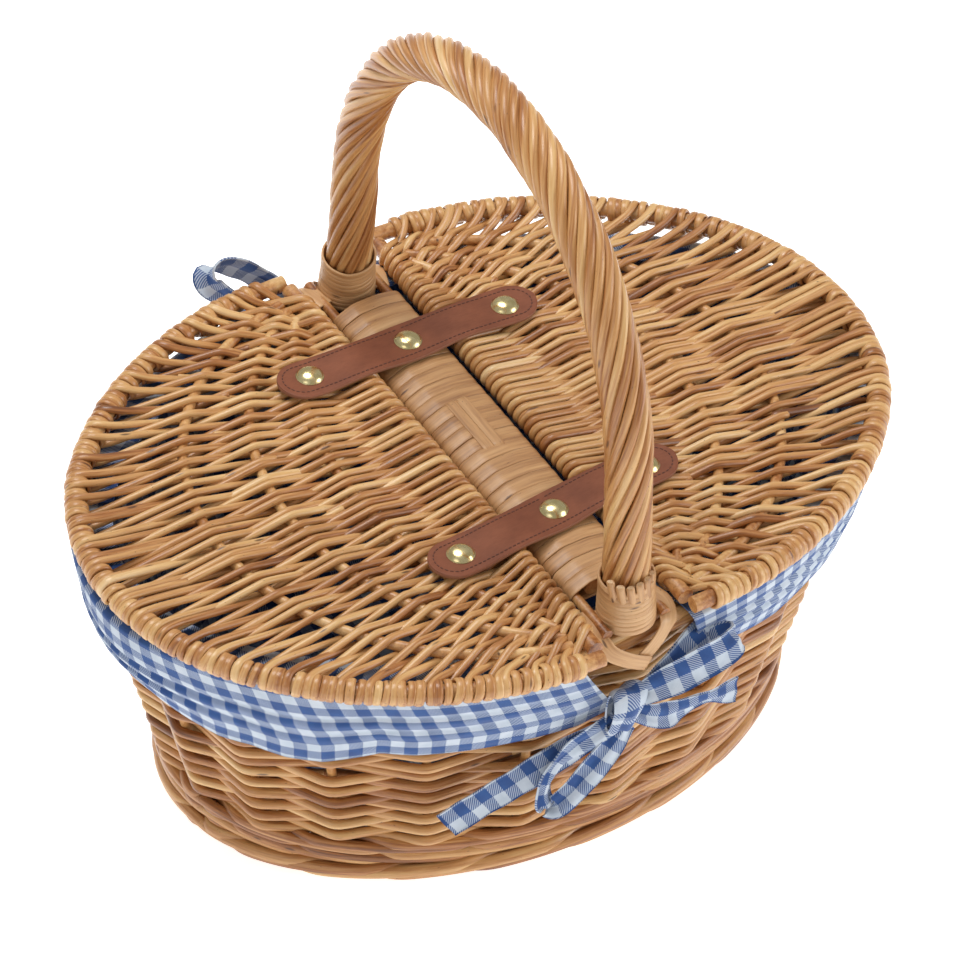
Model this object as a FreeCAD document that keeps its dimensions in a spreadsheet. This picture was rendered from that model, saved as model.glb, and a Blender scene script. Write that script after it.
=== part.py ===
import FreeCAD, Part
import Sketcher
import math
import os

# Oval wicker picnic basket with two hinged lids, a fixed arched handle and a cloth lining.
# Millimetres. Origin: centre of the oval footprint, on the surface that the basket stands on.
# +X runs along the oval, Y runs along the bridge and under the handle, +Z is up.
# The bodywork is an oval funnel: at height z its outside is an ellipse whose half-axes grow
# evenly from the base to the mouth, and every shell is that ellipse moved in or out.

V = FreeCAD.Vector
X_AXIS = V(1, 0, 0)
Y_AXIS = V(0, 1, 0)
Z_AXIS = V(0, 0, 1)

doc = FreeCAD.newDocument("picnic_basket")
sheet = doc.addObject("Spreadsheet::Sheet", "Sheet")

DIMENSIONS = [
    # bodywork
    ("base_half_length", 156),
    ("base_half_width", 109),
    ("mouth_half_length", 195.5),
    ("mouth_half_width", 136.3),
    ("mouth_height", 150),
    ("foot_top", 11),
    ("foot_proud", 3),
    ("foot_depth", 9),
    ("mat_bottom", 2),
    ("mat_top", 11),
    ("base_stick_radius", 2.5),
    ("base_stick_pitch", 34),
    ("base_stick_inset", 8),
    ("wall_top", 143),
    ("wall_thickness", 12),
    ("stake_radius", 2.2),
    ("stake_count", 22),
    ("first_stake_angle", -169.4),
    ("stake_end_gap", 1),
    ("rim_top", 157),
    ("rim_proud", 1),
    ("rim_depth", 12),
    ("gap", 0.3),
    ("fit_gap", 0.1),
    # cloth
    ("lining_inset", 14.5),
    ("cloth_thickness", 1),
    ("cuff_bottom", 100),
    ("cuff_proud", 6),
    ("cuff_thickness", 1.4),
    ("cuff_split_half", 22),
    ("tie_width", 15),
    ("tie_loops_thickness", 4),
    ("tie_tails_thickness", 1.5),
    ("knot_height", 121),
    ("knot_reach", 143),
    ("knot_half_length", 9),
    ("knot_half_depth", 5),
    ("knot_half_height", 8),
    # lids
    ("lid_plane", 164.5),
    ("lid_hinge_offset", 26.8),
    ("lid_length", 171.7),
    ("lid_half_width", 145),
    ("lid_side_shift", 5),
    ("lid_tip_radius", 122),
    ("lid_rod_radius", 3.9),
    ("lid_wrap_radius", 5.6),
    ("lid_rib_radius", 2.5),
    ("lid_weave_thickness", 9),
    ("rib_inner_bulge", 44),
    ("rib_middle_bulge", 78),
    ("rib_outer_bulge", 115),
    ("rib_inner_half_width", 119),
    ("rib_middle_half_width", 126),
    ("rib_outer_half_width", 132),
    ("rib_end_gap", 2.5),
    # bridge between the lids
    ("bridge_half_length", 108),
    ("bridge_side_rod_radius", 2.5),
    ("bridge_side_rod_offset", 15.3),
    ("bridge_side_rod_height", 161.3),
    ("bridge_side_rod_half_length", 136),
    ("bridge_mid_rod_radius", 4),
    ("bridge_mid_rod_offset", 6.2),
    ("bridge_mid_rod_height", 163.6),
    ("bridge_wrap_half_width", 18.9),
    ("bridge_wrap_bottom", 157.8),
    ("bridge_wrap_top", 168.7),
    ("cane_thickness", 0.9),
    ("inlay_width", 5.3),
    ("inlay_length", 34),
    ("inlay_offset", 2.8),
    ("inlay_position", 7.5),
    ("inlay_gap", 0.05),
    # leather straps and their studs
    ("strap_front_position", -63),
    ("strap_front_turn", 6),
    ("strap_back_position", 69),
    ("strap_back_turn", 0),
    ("strap_bottom", 170.3),
    ("strap_thickness", 2.4),
    ("strap_half_width", 12),
    ("strap_straight_half", 57),
    ("stud_spacing", 52.8),
    ("stud_head_radius", 6.2),
    ("stud_head_height", 3),
    ("stud_shank_radius", 1.6),
    ("washer_radius", 5),
    ("washer_thickness", 0.9),
    # handle
    ("handle_bottom", 157.6),
    ("handle_foot_reach", 126.7),
    ("handle_shoulder_reach", 119),
    ("handle_shoulder_height", 276.5),
    ("handle_crown_half", 66),
    ("handle_crown_height", 364.5),
    ("handle_core_radius", 6),
    ("handle_rope_radius", 11.4),
    ("binding_height", 25),
    ("binding_radius", 12.6),
    ("tang_radius", 3),
    ("tang_top_reach", 128.6),
    ("tang_bottom_reach", 119.5),
    ("tang_bottom", 85),
    ("lashing_width", 7),
    ("lashing_offset", 16.5),
    ("lashing_thickness", 1.2),
    ("lashing_inner_reach", 125),
    ("lashing_outer_reach", 140),
    ("lashing_bottom", 140),
    # shaping blocks and drills, large enough to clear what they cut
    ("cuff_block_length", 250),
    ("cuff_block_width", 400),
    ("cuff_block_height", 200),
    ("hinge_block_width", 400),
    ("hinge_block_height", 40),
    ("drill_depth", 20),
    ("cut_margin", 1),
]

for row, (alias, value) in enumerate(DIMENSIONS, start=1):
    sheet.set(f"A{row}", alias)
    sheet.set(f"B{row}", str(value))
    sheet.setAlias(f"B{row}", alias)
doc.recompute()

PARTS = []


def size(alias):
    """A driving dimension as a number."""
    return float(sheet.get(alias))


def bind(item, **formulas):
    """Bind properties to the sheet. A bare alias in a formula is written as @alias."""
    for name, formula in formulas.items():
        item.setExpression(name.replace("__", "."), formula.replace("@", "Sheet."))


def at(item, x="0", y="0", z="0", rotation=None):
    """Place an object: a rotation, and coordinates bound to the sheet."""
    if rotation is not None:
        item.Placement = FreeCAD.Placement(V(), rotation)
    bind(item, Placement__Base__x=x, Placement__Base__y=y, Placement__Base__z=z)
    return item


def sub_part(item, label):
    """Name a finished sub-part and list it for export."""
    item.Label = label
    PARTS.append(item)
    return item


def cut(name, base, tool):
    item = doc.addObject("Part::Cut", name)
    item.Base = base
    item.Tool = tool
    return item


def fuse(name, pieces):
    item = doc.addObject("Part::MultiFuse", name)
    item.Shapes = pieces
    return item


def group(name, pieces):
    """Separate solids kept together, such as a set of equal fasteners."""
    item = doc.addObject("Part::Compound", name)
    item.Links = pieces
    return item


def cylinder(name, radius, height):
    item = doc.addObject("Part::Cylinder", name)
    bind(item, Radius=radius, Height=height)
    return item


def box(name, length, width, height):
    item = doc.addObject("Part::Box", name)
    bind(item, Length=length, Width=width, Height=height)
    return item


def rod_between(name, radius, start, end):
    """A round rod between two points."""
    axis = end - start
    item = cylinder(name, radius, str(axis.Length))
    item.Placement = FreeCAD.Placement(start, FreeCAD.Rotation(Z_AXIS, axis))
    return item


# ---- oval bodywork ---------------------------------------------------------

def half_axis(kind, height, offset):
    """Formula of the bodywork's outer half-length or half-width at a height, moved by offset."""
    base = f"@base_half_{kind}"
    mouth = f"@mouth_half_{kind}"
    return f"{base} + ({mouth} - {base}) * ({height}) / @mouth_height + ({offset})"


def oval(name, height, offset):
    item = doc.addObject("Part::Ellipse", name)
    bind(
        item,
        MajorRadius=half_axis("length", height, offset),
        MinorRadius=half_axis("width", height, offset),
    )
    return at(item, z=height)


def oval_funnel(name, bottom, top, offset):
    """Solid between two ovals of the bodywork."""
    item = doc.addObject("Part::Loft", name)
    item.Sections = [oval(name + "_low", bottom, offset), oval(name + "_high", top, offset)]
    item.Solid = True
    item.Ruled = True
    return item


def oval_ring(name, bottom, top, outer, inner):
    """Wall between two funnels, open above and below."""
    return cut(
        name,
        oval_funnel(name + "_outside", bottom, top, outer),
        oval_funnel(name + "_inside", bottom, top, inner),
    )


def wall_point(angle, height, offset):
    """Point of the bodywork's oval, by the ellipse's own angle in degrees."""
    share = height / size("mouth_height")
    long_axis = size("base_half_length")
    long_axis += (size("mouth_half_length") - long_axis) * share + offset
    short_axis = size("base_half_width")
    short_axis += (size("mouth_half_width") - short_axis) * share + offset
    turn = math.radians(angle)
    return V(long_axis * math.cos(turn), short_axis * math.sin(turn), height)


def make_foot_border():
    ring = oval_ring("foot_ring", "0", "@foot_top", "@foot_proud", "-@foot_depth")
    sub_part(ring, "foot_border")


def make_base():
    """Woven base mat, and the long sticks that it is woven on."""
    mat = oval_funnel("mat_solid", "@mat_bottom", "@mat_top", "-@foot_depth - @gap")
    middle = (size("mat_bottom") + size("mat_top")) / 2
    sticks = []
    holes = []
    for index in (-2, -1, 0, 1, 2):
        offset = index * size("base_stick_pitch")
        inset = size("foot_depth") + size("base_stick_inset")
        share = offset / (size("base_half_width") - inset)
        half = (size("base_half_length") - inset) * math.sqrt(1 - share**2)
        start = V(-half, offset, middle)
        end = V(half, offset, middle)
        sticks.append(rod_between(f"base_stick_{index + 2}", "@base_stick_radius", start, end))
        hole = rod_between(
            f"base_stick_hole_{index + 2}", "@base_stick_radius + @fit_gap", start, end
        )
        holes.append(hole)
    sub_part(cut("mat", mat, group("base_stick_holes", holes)), "base_mat")
    sub_part(group("sticks", sticks), "base_sticks")


def make_wall():
    """Side weave round its upright stakes. The handle's tangs are pushed down into it."""
    ring = oval_ring("wall_ring", "@foot_top + @gap", "@wall_top", "0", "-@wall_thickness")
    inset = -size("wall_thickness") / 2
    low = size("foot_top") + size("stake_end_gap")
    high = size("wall_top") - size("stake_end_gap")
    stakes = []
    holes = []
    count = int(size("stake_count"))
    for index in range(count):
        angle = size("first_stake_angle") + index * 360 / count
        ends = (wall_point(angle, low, inset), wall_point(angle, high, inset))
        stakes.append(rod_between(f"stake_{index}", "@stake_radius", *ends))
        holes.append(rod_between(f"stake_hole_{index}", "@stake_radius + @fit_gap", *ends))
    holes += [make_tang(side, f"wall_tang_hole_{side}", "@fit_gap") for side in (-1, 1)]
    sub_part(cut("wall", ring, group("wall_holes", holes)), "side_weave")
    sub_part(group("stakes", stakes), "wall_stakes")


def make_rim():
    """Thick border round the mouth, with a hole for each handle tang."""
    ring = oval_ring(
        "rim_ring", "@wall_top + @gap", "@rim_top", "@rim_proud", "-@rim_depth"
    )
    holes = [make_tang(side, f"rim_tang_hole_{side}", "@fit_gap") for side in (-1, 1)]
    sub_part(cut("rim", ring, group("rim_holes", holes)), "rim_border")


# ---- cloth -----------------------------------------------------------------

def make_lining():
    """Bag of cloth inside the basket, open at the mouth."""
    bottom = "@mat_top + @gap"
    top = "@rim_top"
    bag = cut(
        "bag",
        oval_funnel("bag_outside", bottom, top, "-@lining_inset"),
        oval_funnel(
            "bag_inside", bottom + " + @cloth_thickness", top, "-@lining_inset - @cloth_thickness"
        ),
    )
    sub_part(bag, "lining_bag")


def make_cuffs():
    """Cloth folded out over the rim, in two halves that part at the handle's feet."""
    fold = oval_ring(
        "cuff_fold",
        "@rim_top + @gap",
        "@rim_top + @gap + @cuff_thickness",
        "@cuff_proud",
        "-@lining_inset - @cloth_thickness",
    )
    skirt = oval_ring(
        "cuff_skirt",
        "@cuff_bottom",
        "@rim_top + @gap",
        "@cuff_proud",
        "@cuff_proud - @cuff_thickness",
    )
    for side, label in ((-1, "lining_cuff_left"), (1, "lining_cuff_right")):
        keep = box(
            f"{label}_half", "@cuff_block_length", "@cuff_block_width", "@cuff_block_height"
        )
        near = "@cuff_split_half" if side > 0 else "-@cuff_block_length - @cuff_split_half"
        at(keep, near, "-@cuff_block_width / 2")
        half = doc.addObject("Part::Common", label + "_cloth")
        half.Base = fuse(label + "_both", [fold, skirt])
        half.Tool = keep
        sub_part(half, label)


# Each ribbon of a bow: its two ends, measured from the knot's centre as along, out and up.
# Loops lie in front of the cuff and tails behind the loops, against the basket.
# The back bow's first loop stands up beside the lid's corner.
BOW_LOOPS = {
    "front": ((V(10, 1, 1), V(58, 0, 6)), (V(-8, 1, -7), V(-46, -3, -43))),
    "back": ((V(9, 4, 6), V(58, 11, 47)), (V(-8, 1, -7), V(-46, -3, -43))),
}
BOW_TAILS = (
    (V(11, -4, -7), V(60, -7, -27)),
    (V(-14, -5, -13), V(-84, -24, -61)),
)


def ribbon(name, side, ends, thickness):
    """Flat length of tie between two places near a knot. Side is -1 in front, 1 at the back."""
    knot = V(0, -size("knot_reach"), size("knot_height"))
    start, end = (knot + V(place.x, -place.y, place.z) for place in ends)
    run = end - start
    level = math.degrees(math.atan2(run.y, run.x))
    climb = math.degrees(math.atan2(run.z, math.hypot(run.x, run.y)))
    turn = FreeCAD.Rotation(Z_AXIS, level) * FreeCAD.Rotation(Y_AXIS, -climb)
    item = box(name, str(run.Length), thickness, "@tie_width")
    corner = start - turn.multVec(V(0, 0, size("tie_width") / 2))
    half_turn = FreeCAD.Placement(V(), FreeCAD.Rotation(Z_AXIS, 0 if side < 0 else 180))
    item.Placement = half_turn.multiply(FreeCAD.Placement(corner, turn))
    return item


def make_bow(side, word):
    """Bow below one handle foot: a knot, two loops in front and two tails behind."""
    knot = doc.addObject("Part::Ellipsoid", f"bow_{word}_knot_solid")
    bind(
        knot,
        Radius1="@knot_half_height",
        Radius2="@knot_half_length",
        Radius3="@knot_half_depth",
    )
    at(knot, y=f"{side} * @knot_reach", z="@knot_height")
    sub_part(knot, f"bow_{word}_knot")
    for kind, ribbons in (("loops", BOW_LOOPS[word]), ("tails", BOW_TAILS)):
        thickness = f"@tie_{kind}_thickness"
        pieces = [
            ribbon(f"{word}_{kind}_{index}", side, ends, thickness)
            for index, ends in enumerate(ribbons)
        ]
        sub_part(group(f"bow_{word}_{kind}_pair", pieces), f"bow_{word}_{kind}")


# ---- handle ----------------------------------------------------------------

def handle_axis():
    """Centre line of the handle: straight legs, shoulder arcs and one crown arc, all tangent."""
    foot = V(0, size("handle_foot_reach"), size("handle_bottom"))
    shoulder = V(0, size("handle_shoulder_reach"), size("handle_shoulder_height"))
    crown_corner = V(0, size("handle_crown_half"), size("handle_crown_height"))
    leg = (shoulder - foot).normalize()
    slope = (crown_corner - shoulder).normalize()
    over = V(0, -1, 0)
    crown_arc_start = crown_corner - slope * size("handle_crown_half")
    reach = (crown_arc_start - shoulder).Length
    shoulder_arc_start = shoulder - leg * reach

    def arc_middle(corner, before, after, length):
        """Point half way round the arc that rounds a corner."""
        half_turn = before.getAngle(after) / 2
        radius = length / math.tan(half_turn)
        inward = (after - before).normalize()
        return corner + inward * (radius / math.cos(half_turn) - radius)

    shoulder_middle = arc_middle(shoulder, leg, slope, reach)
    crown = V(0, 0, size("handle_crown_height"))

    def mirrored(point):
        return V(0, -point.y, point.z)

    edges = [
        Part.LineSegment(foot, shoulder_arc_start),
        Part.Arc(shoulder_arc_start, shoulder_middle, crown_arc_start),
        Part.Arc(crown_arc_start, crown, mirrored(crown_arc_start)),
        Part.Arc(
            mirrored(crown_arc_start), mirrored(shoulder_middle), mirrored(shoulder_arc_start)
        ),
        Part.LineSegment(mirrored(shoulder_arc_start), mirrored(foot)),
    ]
    path = doc.addObject("Part::Feature", "handle_axis_line")
    path.Shape = Part.Wire([edge.toShape() for edge in edges])
    return path, leg


def swept_tube(name, path, edge_count, radius, place):
    """Round bar of a bound radius along a chain of tangent edges."""
    section = doc.addObject("Part::Circle", name + "_section")
    bind(section, Radius=radius)
    section.Placement = place
    bar = doc.addObject("Part::Sweep", name + "_bar")
    bar.Sections = [section]
    bar.Spine = (path, [f"Edge{number + 1}" for number in range(edge_count)])
    bar.Solid = True
    bar.Frenet = False
    return bar


def make_tang(side, name, grow):
    """Thin end of the handle's core, pushed down beside the stakes."""
    top = V(0, side * size("tang_top_reach"), size("handle_bottom") + size("cut_margin"))
    bottom = V(0, side * size("tang_bottom_reach"), size("tang_bottom"))
    return rod_between(name, f"@tang_radius + {grow}", bottom, top)


def make_handle():
    """Core bent over the basket, the roping twisted round it, and a binding at each foot."""
    path, leg = handle_axis()
    foot = V(0, size("handle_foot_reach"), size("handle_bottom"))
    place = FreeCAD.Placement(foot, FreeCAD.Rotation(Z_AXIS, leg))
    core = swept_tube("handle_core", path, 5, "@handle_core_radius", place)
    tangs = [make_tang(side, f"handle_tang_{side}", "0") for side in (-1, 1)]
    sub_part(fuse("handle_core_fused", [core] + tangs), "handle_core")
    outside = swept_tube("roping_outside", path, 5, "@handle_rope_radius", place)
    inside = swept_tube("roping_inside", path, 5, "@handle_core_radius + @fit_gap", place)
    sub_part(cut("roping", outside, inside), "handle_roping")
    for side, word in ((-1, "front"), (1, "back")):
        sleeve = cut(
            f"binding_{word}",
            cylinder(f"binding_{word}_outside", "@binding_radius", "@binding_height"),
            cylinder(f"binding_{word}_inside", "@handle_rope_radius + @fit_gap", "@binding_height"),
        )
        lean = V(0, side * leg.y, leg.z)
        start = V(0, side * foot.y, foot.z) + lean
        sleeve.Placement = FreeCAD.Placement(start, FreeCAD.Rotation(Z_AXIS, lean))
        sub_part(sleeve, f"handle_binding_{word}")


def make_lashings():
    """Flat cane over the rim on both sides of each handle foot, bent down the outside."""
    top = "@rim_top + @gap"
    outer_width = "@lashing_outer_reach - @lashing_inner_reach"
    inner_width = (
        "@lashing_outer_reach - @lashing_thickness - @lashing_inner_reach + @cut_margin"
    )
    nearest = {
        "back": ("@lashing_inner_reach", "@lashing_inner_reach - @cut_margin"),
        "front": ("-@lashing_outer_reach", "@lashing_thickness - @lashing_outer_reach"),
    }
    for word, (outer_y, inner_y) in nearest.items():
        bands = []
        for hand in (-1, 1):
            name = f"lashing_{word}_{hand + 1}"
            outer_height = top + " + @lashing_thickness - @lashing_bottom"
            outer = box(name + "_outer", "@lashing_width", outer_width, outer_height)
            inner_height = top + " - @lashing_bottom + @cut_margin"
            inner_length = "@lashing_width + 2 * @cut_margin"
            inner = box(name + "_inner", inner_length, inner_width, inner_height)
            across = f"{hand} * @lashing_offset - @lashing_width / 2"
            at(outer, across, outer_y, "@lashing_bottom")
            at(inner, across + " - @cut_margin", inner_y, "@lashing_bottom - @cut_margin")
            bands.append(cut(name, outer, inner))
        sub_part(group(f"lashing_{word}_bands", bands), f"foot_lashing_{word}")


# ---- bridge ----------------------------------------------------------------

def origin_plane(body, role):
    return next(item for item in body.Origin.OriginFeatures if item.Role == role)


def body_sketch(body, name, role, lift):
    sketch = body.newObject("Sketcher::SketchObject", name)
    sketch.AttachmentSupport = [(origin_plane(body, role), "")]
    sketch.MapMode = "FlatFace"
    bind(sketch, AttachmentOffset__Base__z=lift)
    return sketch


def add_circle(sketch, x, y, radius):
    """Circle with its centre and radius bound to the sheet."""
    circle = Part.Circle(V(1, 1, 0), Z_AXIS, 1)
    index = sketch.addGeometry(circle, False)
    for kind, formula in (("DistanceX", x), ("DistanceY", y)):
        number = sketch.addConstraint(Sketcher.Constraint(kind, -1, 1, index, 3, 1.0))
        bind(sketch, **{f"Constraints[{number}]": formula})
    number = sketch.addConstraint(Sketcher.Constraint("Radius", index, 1.0))
    bind(sketch, **{f"Constraints[{number}]": radius})
    return index


def add_rectangle(sketch, low_x, low_y, high_x, high_y):
    """Rectangle with its four sides bound to the sheet."""
    corners = [V(0, 0, 0), V(10, 0, 0), V(10, 10, 0), V(0, 10, 0)]
    first = sketch.GeometryCount
    for index in range(4):
        sketch.addGeometry(Part.LineSegment(corners[index], corners[(index + 1) % 4]), False)
    for index in range(4):
        following = first + (index + 1) % 4
        sketch.addConstraint(Sketcher.Constraint("Coincident", first + index, 2, following, 1))
    for index, kind in enumerate(("Horizontal", "Vertical", "Horizontal", "Vertical")):
        sketch.addConstraint(Sketcher.Constraint(kind, first + index))
    for kind, line, formula in (
        ("DistanceX", 0, low_x),
        ("DistanceY", 0, low_y),
        ("DistanceX", 2, high_x),
        ("DistanceY", 2, high_y),
    ):
        number = sketch.addConstraint(Sketcher.Constraint(kind, -1, 1, first + line, 1, 5.0))
        bind(sketch, **{f"Constraints[{number}]": formula})


def pad(body, name, sketch, length, midplane=False):
    item = body.newObject("PartDesign::Pad", name)
    item.Profile = sketch
    item.SideType = "Symmetric" if midplane else "One side"
    bind(item, Length=length)
    return item


def make_bridge():
    """Four rods from foot to foot, wrapped across with flat cane, and two inlaid strips."""
    rods = []
    for side in (-1, 1):
        thin = cylinder(
            f"bridge_thin_rod_{side + 1}", "@bridge_side_rod_radius", "2 * @bridge_side_rod_half_length"
        )
        at(
            thin,
            f"{side} * @bridge_side_rod_offset",
            "-@bridge_side_rod_half_length",
            "@bridge_side_rod_height",
            FreeCAD.Rotation(X_AXIS, -90),
        )
        thick = cylinder(
            f"bridge_thick_rod_{side + 1}", "@bridge_mid_rod_radius", "2 * @bridge_half_length"
        )
        at(
            thick,
            f"{side} * @bridge_mid_rod_offset",
            "-@bridge_half_length",
            "@bridge_mid_rod_height",
            FreeCAD.Rotation(X_AXIS, -90),
        )
        rods += [thin, thick]
    sub_part(group("bridge_rod_group", rods), "bridge_rods")

    wrap = doc.addObject("PartDesign::Body", "bridge_wrap")
    outline = body_sketch(wrap, "bridge_wrap_outline", "XZ_Plane", "0")
    wall = "@cane_thickness"
    side_line = "@bridge_wrap_half_width"
    add_rectangle(
        outline, "-" + side_line, "@bridge_wrap_bottom", side_line, "@bridge_wrap_top"
    )
    add_rectangle(
        outline,
        f"-({side_line} - {wall})",
        f"@bridge_wrap_bottom + {wall}",
        f"{side_line} - {wall}",
        f"@bridge_wrap_top - {wall}",
    )
    pad(wrap, "bridge_wrap_pad", outline, "2 * @bridge_half_length", midplane=True)
    doc.recompute()
    holes = body_sketch(wrap, "bridge_wrap_holes", "XY_Plane", "@bridge_wrap_top + @cut_margin")
    for position in ("@strap_front_position", "@strap_back_position"):
        add_circle(holes, "0", position, "@stud_shank_radius + @fit_gap")
    drill = wrap.newObject("PartDesign::Pocket", "bridge_wrap_drill")
    drill.Profile = holes
    bind(drill, Length="@bridge_wrap_top - @bridge_wrap_bottom + 3 * @cut_margin")
    sub_part(wrap, "bridge_cane_wrap")

    strips = []
    for side in (-1, 1):
        strip = box(f"inlay_{side + 1}", "@inlay_width", "@inlay_length", wall)
        at(
            strip,
            f"{side} * @inlay_offset - @inlay_width / 2",
            "@inlay_position - @inlay_length / 2",
            "@bridge_wrap_top + @inlay_gap",
        )
        strips.append(strip)
    sub_part(group("inlay_pair", strips), "bridge_inlay_strips")


# ---- straps and studs ------------------------------------------------------

def strap_stud(word, step):
    """Formulas of the place of a strap's stud: step is -1, 0 or 1 along the strap."""
    turn = f"@strap_{word}_turn"
    x = f"{step} * @stud_spacing * cos({turn} * 1deg)"
    y = f"@strap_{word}_position + {step} * @stud_spacing * sin({turn} * 1deg)"
    return x, y


def make_strap(word):
    """Leather strap with round ends and three stud holes: it is the hinge of both lids."""
    body = doc.addObject("PartDesign::Body", f"strap_{word}_body")
    outline = body_sketch(body, f"strap_{word}_outline", "XY_Plane", "0")
    reach = size("strap_straight_half")
    half = size("strap_half_width")
    right = Part.Circle(V(reach, 0, 0), Z_AXIS, half)
    left = Part.Circle(V(-reach, 0, 0), Z_AXIS, half)
    quarter = math.pi / 2
    outline.addGeometry(Part.ArcOfCircle(right, -quarter, quarter), False)
    outline.addGeometry(Part.LineSegment(V(reach, half, 0), V(-reach, half, 0)), False)
    outline.addGeometry(Part.ArcOfCircle(left, quarter, 3 * quarter), False)
    outline.addGeometry(Part.LineSegment(V(-reach, -half, 0), V(reach, -half, 0)), False)
    for index in range(4):
        outline.addConstraint(Sketcher.Constraint("Tangent", index, 2, (index + 1) % 4, 1))
    outline.addConstraint(Sketcher.Constraint("Symmetric", 0, 3, 2, 3, -1, 1))
    outline.addConstraint(Sketcher.Constraint("PointOnObject", 0, 3, -1))
    radius = outline.addConstraint(Sketcher.Constraint("Radius", 0, half))
    bind(outline, **{f"Constraints[{radius}]": "@strap_half_width"})
    length = outline.addConstraint(Sketcher.Constraint("DistanceX", -1, 1, 0, 3, reach))
    bind(outline, **{f"Constraints[{length}]": "@strap_straight_half"})
    for step in (-1, 0, 1):
        add_circle(outline, f"{step} * @stud_spacing", "0", "@stud_shank_radius + @fit_gap")
    pad(body, f"strap_{word}_pad", outline, "@strap_thickness")
    turn = FreeCAD.Rotation(Z_AXIS, size(f"strap_{word}_turn"))
    at(body, "0", f"@strap_{word}_position", "@strap_bottom", turn)
    sub_part(body, f"strap_{word}")


def make_fasteners(prefix, step, under):
    """Domed studs through both straps at one step, and the washers that they are riveted over."""
    studs = []
    washers = []
    for word in ("front", "back"):
        x, y = strap_stud(word, step)
        top = "@strap_bottom + @strap_thickness"
        dome = doc.addObject("Part::Ellipsoid", f"{prefix}_{word}_dome")
        dome.Angle1 = 0
        bind(
            dome,
            Radius1="@stud_head_height",
            Radius2="@stud_head_radius",
            Radius3="@stud_head_radius",
        )
        at(dome, x, y, top)
        foot = f"({under}) - @washer_thickness"
        shank = cylinder(f"{prefix}_{word}_shank", "@stud_shank_radius", f"{top} - ({foot})")
        at(shank, x, y, foot)
        studs.append(fuse(f"{prefix}_{word}_stud", [dome, shank]))
        disc = cylinder(f"{prefix}_{word}_disc", "@washer_radius", "@washer_thickness")
        at(disc, x, y, foot)
        hole = cylinder(
            f"{prefix}_{word}_hole", "@stud_shank_radius + @fit_gap", "@washer_thickness"
        )
        at(hole, x, y, foot)
        washers.append(cut(f"{prefix}_{word}_washer", disc, hole))
    sub_part(group(prefix + "_stud_pair", studs), prefix + "_studs")
    sub_part(group(prefix + "_washer_pair", washers), prefix + "_stud_washers")


# ---- lids ------------------------------------------------------------------

def lid_outline(name, inset):
    """Sketch of a lid: straight hinge side, two shoulder arcs and a tip arc, moved inwards."""
    hinge = size("lid_hinge_offset")
    length = size("lid_length")
    half = size("lid_half_width")
    tip = size("lid_tip_radius")
    shoulder = ((length - tip) ** 2 + half**2 - tip**2) / (2 * (half - tip))
    swing = math.atan2(shoulder - half, length - tip)
    quarter = math.pi / 2
    sketch = doc.addObject("Sketcher::SketchObject", name)
    front = Part.Circle(V(hinge, shoulder - half, 0), Z_AXIS, shoulder)
    outer = Part.Circle(V(hinge + length - tip, 0, 0), Z_AXIS, tip)
    back = Part.Circle(V(hinge, half - shoulder, 0), Z_AXIS, shoulder)
    sketch.addGeometry(Part.ArcOfCircle(front, -quarter, -swing), False)
    sketch.addGeometry(Part.ArcOfCircle(outer, -swing, swing), False)
    sketch.addGeometry(Part.ArcOfCircle(back, swing, quarter), False)
    sketch.addGeometry(Part.LineSegment(V(hinge, half, 0), V(hinge, -half, 0)), False)
    for pair in ((0, 2, 1, 1), (1, 2, 2, 1)):
        sketch.addConstraint(Sketcher.Constraint("Tangent", *pair))
    for pair in ((2, 2, 3, 1), (3, 2, 0, 1)):
        sketch.addConstraint(Sketcher.Constraint("Coincident", *pair))
    sketch.addConstraint(Sketcher.Constraint("Symmetric", 3, 1, 3, 2, -1))
    sketch.addConstraint(Sketcher.Constraint("PointOnObject", 0, 3, 3))
    sketch.addConstraint(Sketcher.Constraint("PointOnObject", 2, 3, 3))
    sketch.addConstraint(Sketcher.Constraint("PointOnObject", 1, 3, -1))
    for kind, place, value, formula in (
        ("DistanceX", (3, 1), hinge, "@lid_hinge_offset"),
        ("DistanceY", (3, 1), half, f"@lid_half_width - ({inset})"),
        ("DistanceX", (1, 3), hinge + length - tip,
         "@lid_hinge_offset + @lid_length - @lid_tip_radius"),
    ):
        number = sketch.addConstraint(Sketcher.Constraint(kind, -1, 1, *place, value))
        bind(sketch, **{f"Constraints[{number}]": formula})
    number = sketch.addConstraint(Sketcher.Constraint("Radius", 1, tip))
    bind(sketch, **{f"Constraints[{number}]": f"@lid_tip_radius - ({inset})"})
    return sketch


def rib_torus(name, rib, grow):
    """Bowed rib of a lid: one arc whose ends stop short of the hinge rod."""
    bulge = f"@{rib}_bulge"
    half_width = f"@{rib}_half_width"
    rise = f"({bulge} - @lid_wrap_radius - @rib_end_gap)"
    radius = f"(({half_width}^2 + {rise}^2) / (2 * {rise}))"
    item = doc.addObject("Part::Torus", name)
    bind(
        item,
        Radius1=radius,
        Radius2=f"@lid_rib_radius + {grow}",
        Angle3=f"2 * asin({half_width} / {radius})",
    )
    doc.recompute()
    half_angle = item.Angle3.Value / 2
    at(
        item,
        f"@lid_hinge_offset + {bulge} - {radius}",
        "@lid_side_shift",
        "@lid_plane",
        FreeCAD.Rotation(Z_AXIS, -half_angle),
    )
    return item


def half_turned(item, name):
    """The left lid's copy of a right lid piece: the same piece turned half round the basket."""
    copy = group(name, [item])
    copy.Placement = FreeCAD.Placement(V(), FreeCAD.Rotation(Z_AXIS, 180))
    return copy


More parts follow.
